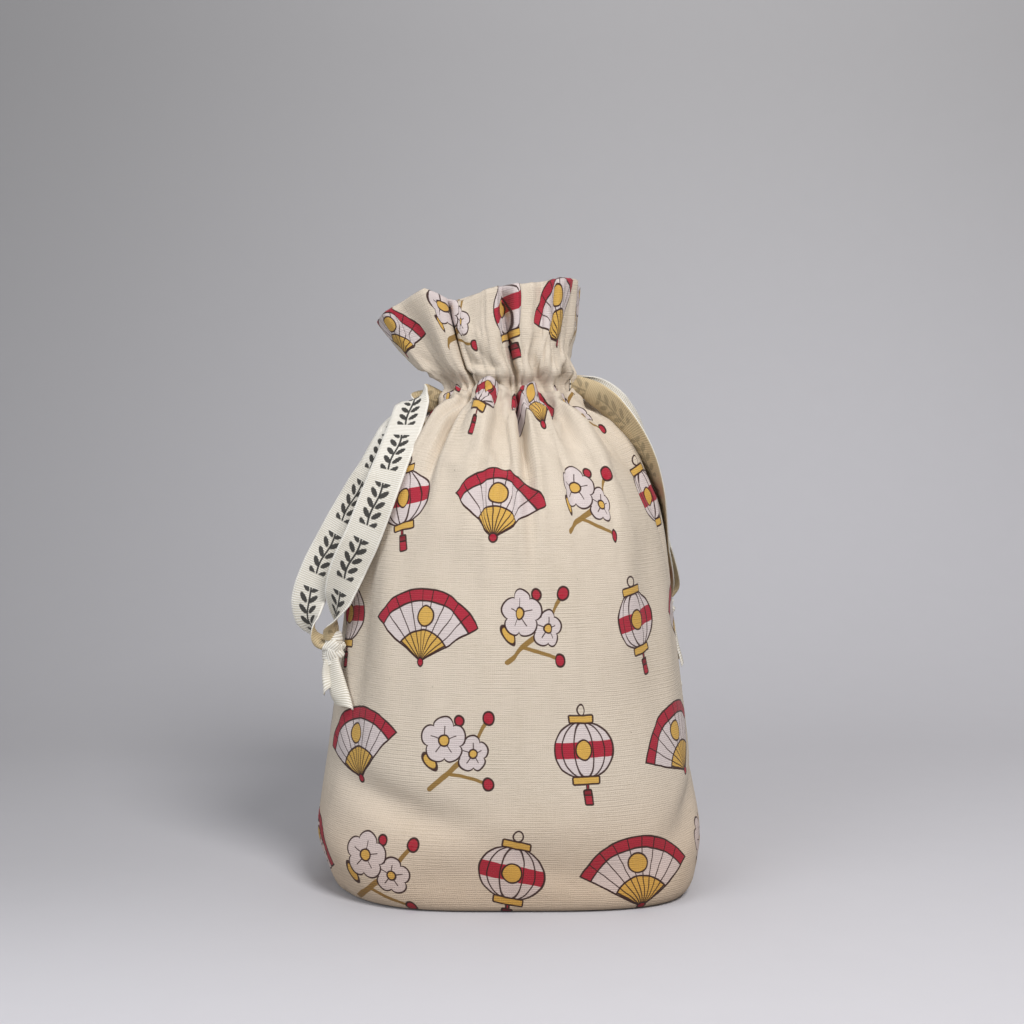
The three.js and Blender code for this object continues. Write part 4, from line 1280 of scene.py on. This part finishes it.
def resampled(grid, places, axis, closed=False):
    """Smoothly interpolated slices of a grid, at fractions of its steps along one axis."""
    count = grid.shape[axis]
    low = np.floor(places).astype(int)
    f = (places - low).reshape([-1 if k == axis else 1 for k in range(grid.ndim)])
    shares = (-f + 2 * f**2 - f**3, 2 - 5 * f**2 + 3 * f**3, f + 4 * f**2 - 3 * f**3, f**3 - f**2)
    total = 0
    for k, share in enumerate(shares):
        at = low + k - 1
        at = at % count if closed else np.clip(at, 0, count - 1)
        total = total + np.take(grid, at, axis) * share / 2
    return total


def settling(shape, cloth, rows):
    """How far the settled folds move each point of the fine cloth, worked out on a coarser one."""
    coarse = Envelope(shape, cloth, cloth.columns // 2)
    places = np.linspace(0, len(rows) - 1, SIM_ROWS)
    shift = settled(coarse, coarse.points(np.interp(places, np.arange(len(rows)), rows), pleats=False))
    far = np.linalg.norm(shift, axis=2, keepdims=True)
    shift = shift * np.minimum(1, SIM_LIMIT * MM / np.maximum(far, 1e-9))
    shift = resampled(shift, np.interp(np.arange(len(rows)), places, np.arange(SIM_ROWS)), 0)
    shift = resampled(shift, np.arange(2 * cloth.columns) / 2, 1, closed=True)
    return shift * (1 - 0.6 * smoothstep(rows, TOP, TOP + 0.5))[:, None, None]


def outward(ring):
    """The outward normal at each point of a closed ring of columns."""
    around = np.roll(ring, -1, 1) - np.roll(ring, 1, 1)
    return unit(np.cross(around, np.gradient(ring, axis=0)))


def folded_hem(envelope, ring, rows, cloth):
    """The hem, from the frill's fold down the inside to just below the casing, past the drawstrings."""
    casing_low = np.interp(TOP - 1.4, rows, np.arange(len(rows)))
    places = np.linspace(len(rows) - 1, casing_low, cloth.hem_rows + 1)
    points, normals = resampled(ring, places, 0), unit(resampled(outward(ring), places, 0))
    t = np.interp(places, np.arange(len(rows)), rows)
    gap = cloth.hem_gap * smoothstep(-t, -TOP - 1, -TOP - 0.94)
    hem = points - normals * gap[:, None, None]
    smooth = envelope.smooth(t)
    neck = outward(envelope.smooth(TOP + np.array([-0.6, -0.5, -0.4])))[1:2]
    inner = smooth - unit(neck * (1, 1, 0)) * HEM_INSET * MM
    inner[:, :, 2] = points[:, :, 2].mean(1, keepdims=True)
    in_casing = smoothstep(t, TOP - 1.25, TOP - 0.8) * smoothstep(-t, -TOP - 0.35, -TOP)
    hem += (inner - hem) * in_casing[:, None, None]
    crest = points[:1] - normals[:1] * cloth.hem_gap * 0.5
    crest[:, :, 2] += 0.45 * MM
    return np.concatenate([crest, hem[1:]], 0)


def opened_seam(panel, shape):
    """The panel with its side edges drawn back where the drawstrings come out of the casing."""
    middle = shape.neck[2] + shape.casing_height / 2
    reach, slit = 13 * MM, 4.2 * MM
    for row in panel:
        run = run_along(row)
        z = row[[0, -1], 2]
        width = slit * smoothstep(-np.abs(z - middle), -9.5 * MM, -5.5 * MM)
        left = width[0] * np.clip(1 - run / reach, 0, 1) ** 2
        right = width[1] * np.clip(1 - (run[-1] - run) / reach, 0, 1) ** 2
        moved = run + left - right
        row[:] = np.stack([np.interp(moved, run, row[:, k]) for k in range(3)], 1)
    return panel


def with_seam_allowance(panel, flat, side, widths):
    """Two more columns on each side, turned inside along the seam."""
    for end, next_one in ((0, 1), (-1, -2)):
        edge = panel[:, end]
        towards = np.zeros_like(edge)
        towards[:, 0] = np.sign(panel[:, len(panel[0]) // 2, 0] - edge[:, 0])
        towards[:, 1] = side * 0.12
        extra = [edge + towards * widths[:, None] * share for share in (0.5, 1.0)]
        step = np.zeros_like(flat[:, end])
        step[:, 0] = np.sign(flat[:, end, 0] - flat[:, next_one, 0])
        places = [flat[:, end] + step * widths[:, None] * share for share in (0.5, 1.0)]
        if end == 0:
            extra, places = extra[::-1], places[::-1]
        parts = [np.stack(extra, 1), panel]
        flats = [np.stack(places, 1), flat]
        if end == -1:
            parts, flats = parts[::-1], flats[::-1]
        panel, flat = np.concatenate(parts, 1), np.concatenate(flats, 1)
    return panel, flat


class POUCH_OT_cloth(bpy.types.Operator):
    """Makes the two canvas panels, gathered round the neck, with the hem folded inside."""

    bl_idname = "pouch.cloth"
    bl_label = "Canvas panels"

    def execute(self, context):
        scene = context.scene
        shape, cloth = scene.pouch_shape, scene.pouch_cloth
        envelope = Envelope(shape, cloth, cloth.columns)
        rows = even_rows(envelope, cloth.rows)
        ring = envelope.points(rows)
        ring = ring + settling(shape, cloth, rows)
        ring[:, :, 2] = np.maximum(ring[:, :, 2], shape.foot[2])
        hem = folded_hem(envelope, ring, rows, cloth)
        shown = smooth_rows(np.minimum(girth(ring) / 2 / cloth.flat_width, 1), 7)
        shown = np.concatenate([shown, np.interp(np.arange(len(hem)), [0, len(hem)], shown[[-1, -25]])])
        hidden = envelope.hidden()
        whole = np.concatenate([ring, hem], 0)
        columns = cloth.columns
        materials = [canvas_material("printed canvas", True), canvas_material("canvas wrong side", False)]
        for name, side in (("front", FRONT), ("back", BACK)):
            first = 0 if side == FRONT else columns
            order = np.arange(first, first + columns + 1) % (2 * columns)
            panel = opened_seam(whole[:, order].copy(), shape)
            share = np.linspace(0, 1, columns + 1)
            share, folded = (share, hidden[FRONT]) if side == FRONT else (share[::-1], hidden[BACK])
            across = share * shown[:, None] + folded * (1 - shown[:, None]) - 0.5
            run = run_along(panel).mean(1)
            flat = np.dstack([across * cloth.flat_width, np.broadcast_to(run[:, None], panel.shape[:2])])
            turned_in = np.full(len(panel), cloth.seam_allowance)
            turned_in[panel[:, 0, 2] > shape.neck[2] + shape.casing_height] = FRILL_ALLOWANCE * MM
            turned_in[len(ring):] = FRILL_ALLOWANCE * MM
            panel, flat = with_seam_allowance(panel, flat, side, turned_in)
            piece = grid_piece(f"{name}_canvas", panel, flat)
            thicken(piece, cloth.thickness)
            finish_piece(piece, materials, [f"{name}_panel"])
        return {"FINISHED"}


def smooth_rows(values, reach):
    """A running mean."""
    padded = np.pad(values, reach, mode="edge")
    return np.convolve(padded, np.ones(2 * reach + 1) / (2 * reach + 1), mode="valid")


# The studio

# Each soft lamp: its name, place, size, power and tint
LAMPS = (
    ("key lamp", (0.34, -0.78, 0.86), 0.4, 9.2, (1.0, 0.97, 0.94)),
    ("fill lamp", (-0.7, -0.7, 0.45), 0.8, 3.5, (0.94, 0.97, 1.0)),
    ("top lamp", (0.0, 0.3, 1.0), 0.7, 1.6, (1.0, 0.99, 0.98)),
)


class POUCH_OT_studio(bpy.types.Operator):
    """Makes the camera, the soft lamps and the pale floor that turns up into the backdrop."""

    bl_idname = "pouch.studio"
    bl_label = "Studio"

    def execute(self, context):
        scene = context.scene
        studio = scene.pouch_studio
        camera = bpy.data.objects.new("camera", bpy.data.cameras.new("camera"))
        scene.collection.objects.link(camera)
        camera.location = (studio.camera_side, -studio.camera_distance, studio.camera_height)
        camera.rotation_euler = (math.pi / 2 - studio.camera_pitch, 0, 0)
        camera.data.sensor_width = 36
        camera.data.lens = studio.lens
        camera.data.clip_start = 0.01
        scene.camera = camera
        for lamp in LAMPS:
            self.lamp(*lamp)
        world = bpy.data.worlds.new("studio")
        world.use_nodes = True
        world.node_tree.nodes["Background"].inputs[0].default_value = (1, 0.99, 0.985, 1)
        world.node_tree.nodes["Background"].inputs[1].default_value = 0.26
        scene.world = world
        self.floor(studio)
        scene.view_settings.view_transform = "Standard"
        return {"FINISHED"}

    def lamp(self, name, place, size, power, tint):
        lamp = bpy.data.lights.new(name, "AREA")
        lamp.shape = "DISK"
        lamp.size = size
        lamp.energy = power
        lamp.color = tint
        made = bpy.data.objects.new(name, lamp)
        made.location = place
        aim = Vector((0, 0, 0.1)) - Vector(place)
        made.rotation_euler = aim.to_track_quat("-Z", "Y").to_euler()
        bpy.context.scene.collection.objects.link(made)

    def floor(self, studio):
        """One sheet: the floor, a wide round cove and the wall."""
        half_width, front, back, cove, top = 4.0, -3.0, 0.75, 0.5, 3.0
        bm = bmesh.new()
        profile = [(front, 0), (back - cove, 0)]
        for k in range(1, 17):
            angle = k / 16 * math.pi / 2
            profile.append((back - cove + cove * math.sin(angle), cove * (1 - math.cos(angle))))
        profile.append((back, top))
        points = [bm.verts.new((-half_width, y, z)) for y, z in profile]
        edges = [bm.edges.new(pair) for pair in zip(points, points[1:])]
        swept = bmesh.ops.extrude_edge_only(bm, edges=edges)["geom"]
        moved = [v for v in swept if isinstance(v, bmesh.types.BMVert)]
        bmesh.ops.translate(bm, verts=moved, vec=(2 * half_width, 0, 0))
        bmesh.ops.recalc_face_normals(bm, faces=bm.faces)
        floor = piece_from(bm, "floor")
        for polygon in floor.data.polygons:
            polygon.use_smooth = True
        paint = Paint("studio paper")
        x, y, z = paint.split(paint.node("TexCoord").outputs["Object"])
        rise = paint.step(z, 0.02, 0.55)
        tone = paint.mix(rise, tuple(studio.floor), tuple(studio.wall))
        # Painted shadow: towards the left and behind the pouch, the paper darkens towards half the wall's
        # tone.
        painted_shadow = paint.step(x, 0.35, -0.55) * paint.step(y, -0.2, 0.02)
        tone = paint.mix(painted_shadow * 0.62, tone, tuple(0.5 * c for c in studio.wall))
        grain = paint.noise(paint.vector(x, y, z), 60, 3) * 0.04
        tone = paint.mix(grain, tone, (0.3, 0.3, 0.33))
        seen = paint.node("LightPath").outputs["Is Camera Ray"]
        tone = paint.mix(seen, (0.34, 0.33, 0.33), tone)
        floor.data.materials.append(paint.shaded(tone, {"Roughness": 0.75, "Specular IOR Level": 0.2}))


class POUCH_PT_sidebar(bpy.types.Panel):
    """The pouch's sizes, colours and pieces."""

    bl_idname = "POUCH_PT_sidebar"
    bl_label = "Drawstring pouch"
    bl_space_type = "VIEW_3D"
    bl_region_type = "UI"
    bl_category = "Pouch"

    def draw(self, context):
        for name, group in SETTINGS.items():
            box = self.layout.box()
            box.label(text=group.__doc__)
            for key in group.__annotations__:
                box.prop(getattr(context.scene, name), key)
        for operator in OPERATORS:
            self.layout.operator(operator.bl_idname)


SETTINGS = {
    "pouch_shape": PouchShape,
    "pouch_cloth": ClothSettings,
    "pouch_print": PrintSettings,
    "pouch_ribbon": RibbonSettings,
    "pouch_studio": StudioSettings,
}
OPERATORS = (POUCH_OT_studio, POUCH_OT_drawstrings, POUCH_OT_cloth)


def register():
    for kind in (*SETTINGS.values(), *OPERATORS, POUCH_PT_sidebar):
        bpy.utils.register_class(kind)
    for name, group in SETTINGS.items():
        setattr(bpy.types.Scene, name, PointerProperty(type=group))


def unregister():
    for name in SETTINGS:
        delattr(bpy.types.Scene, name)
    for kind in (POUCH_PT_sidebar, *reversed(OPERATORS), *reversed(SETTINGS.values())):
        bpy.utils.unregister_class(kind)


def main():
    register()
    bpy.ops.pouch.studio()
    bpy.ops.pouch.drawstrings()
    bpy.ops.pouch.cloth()


if __name__ == "__main__":
    main()
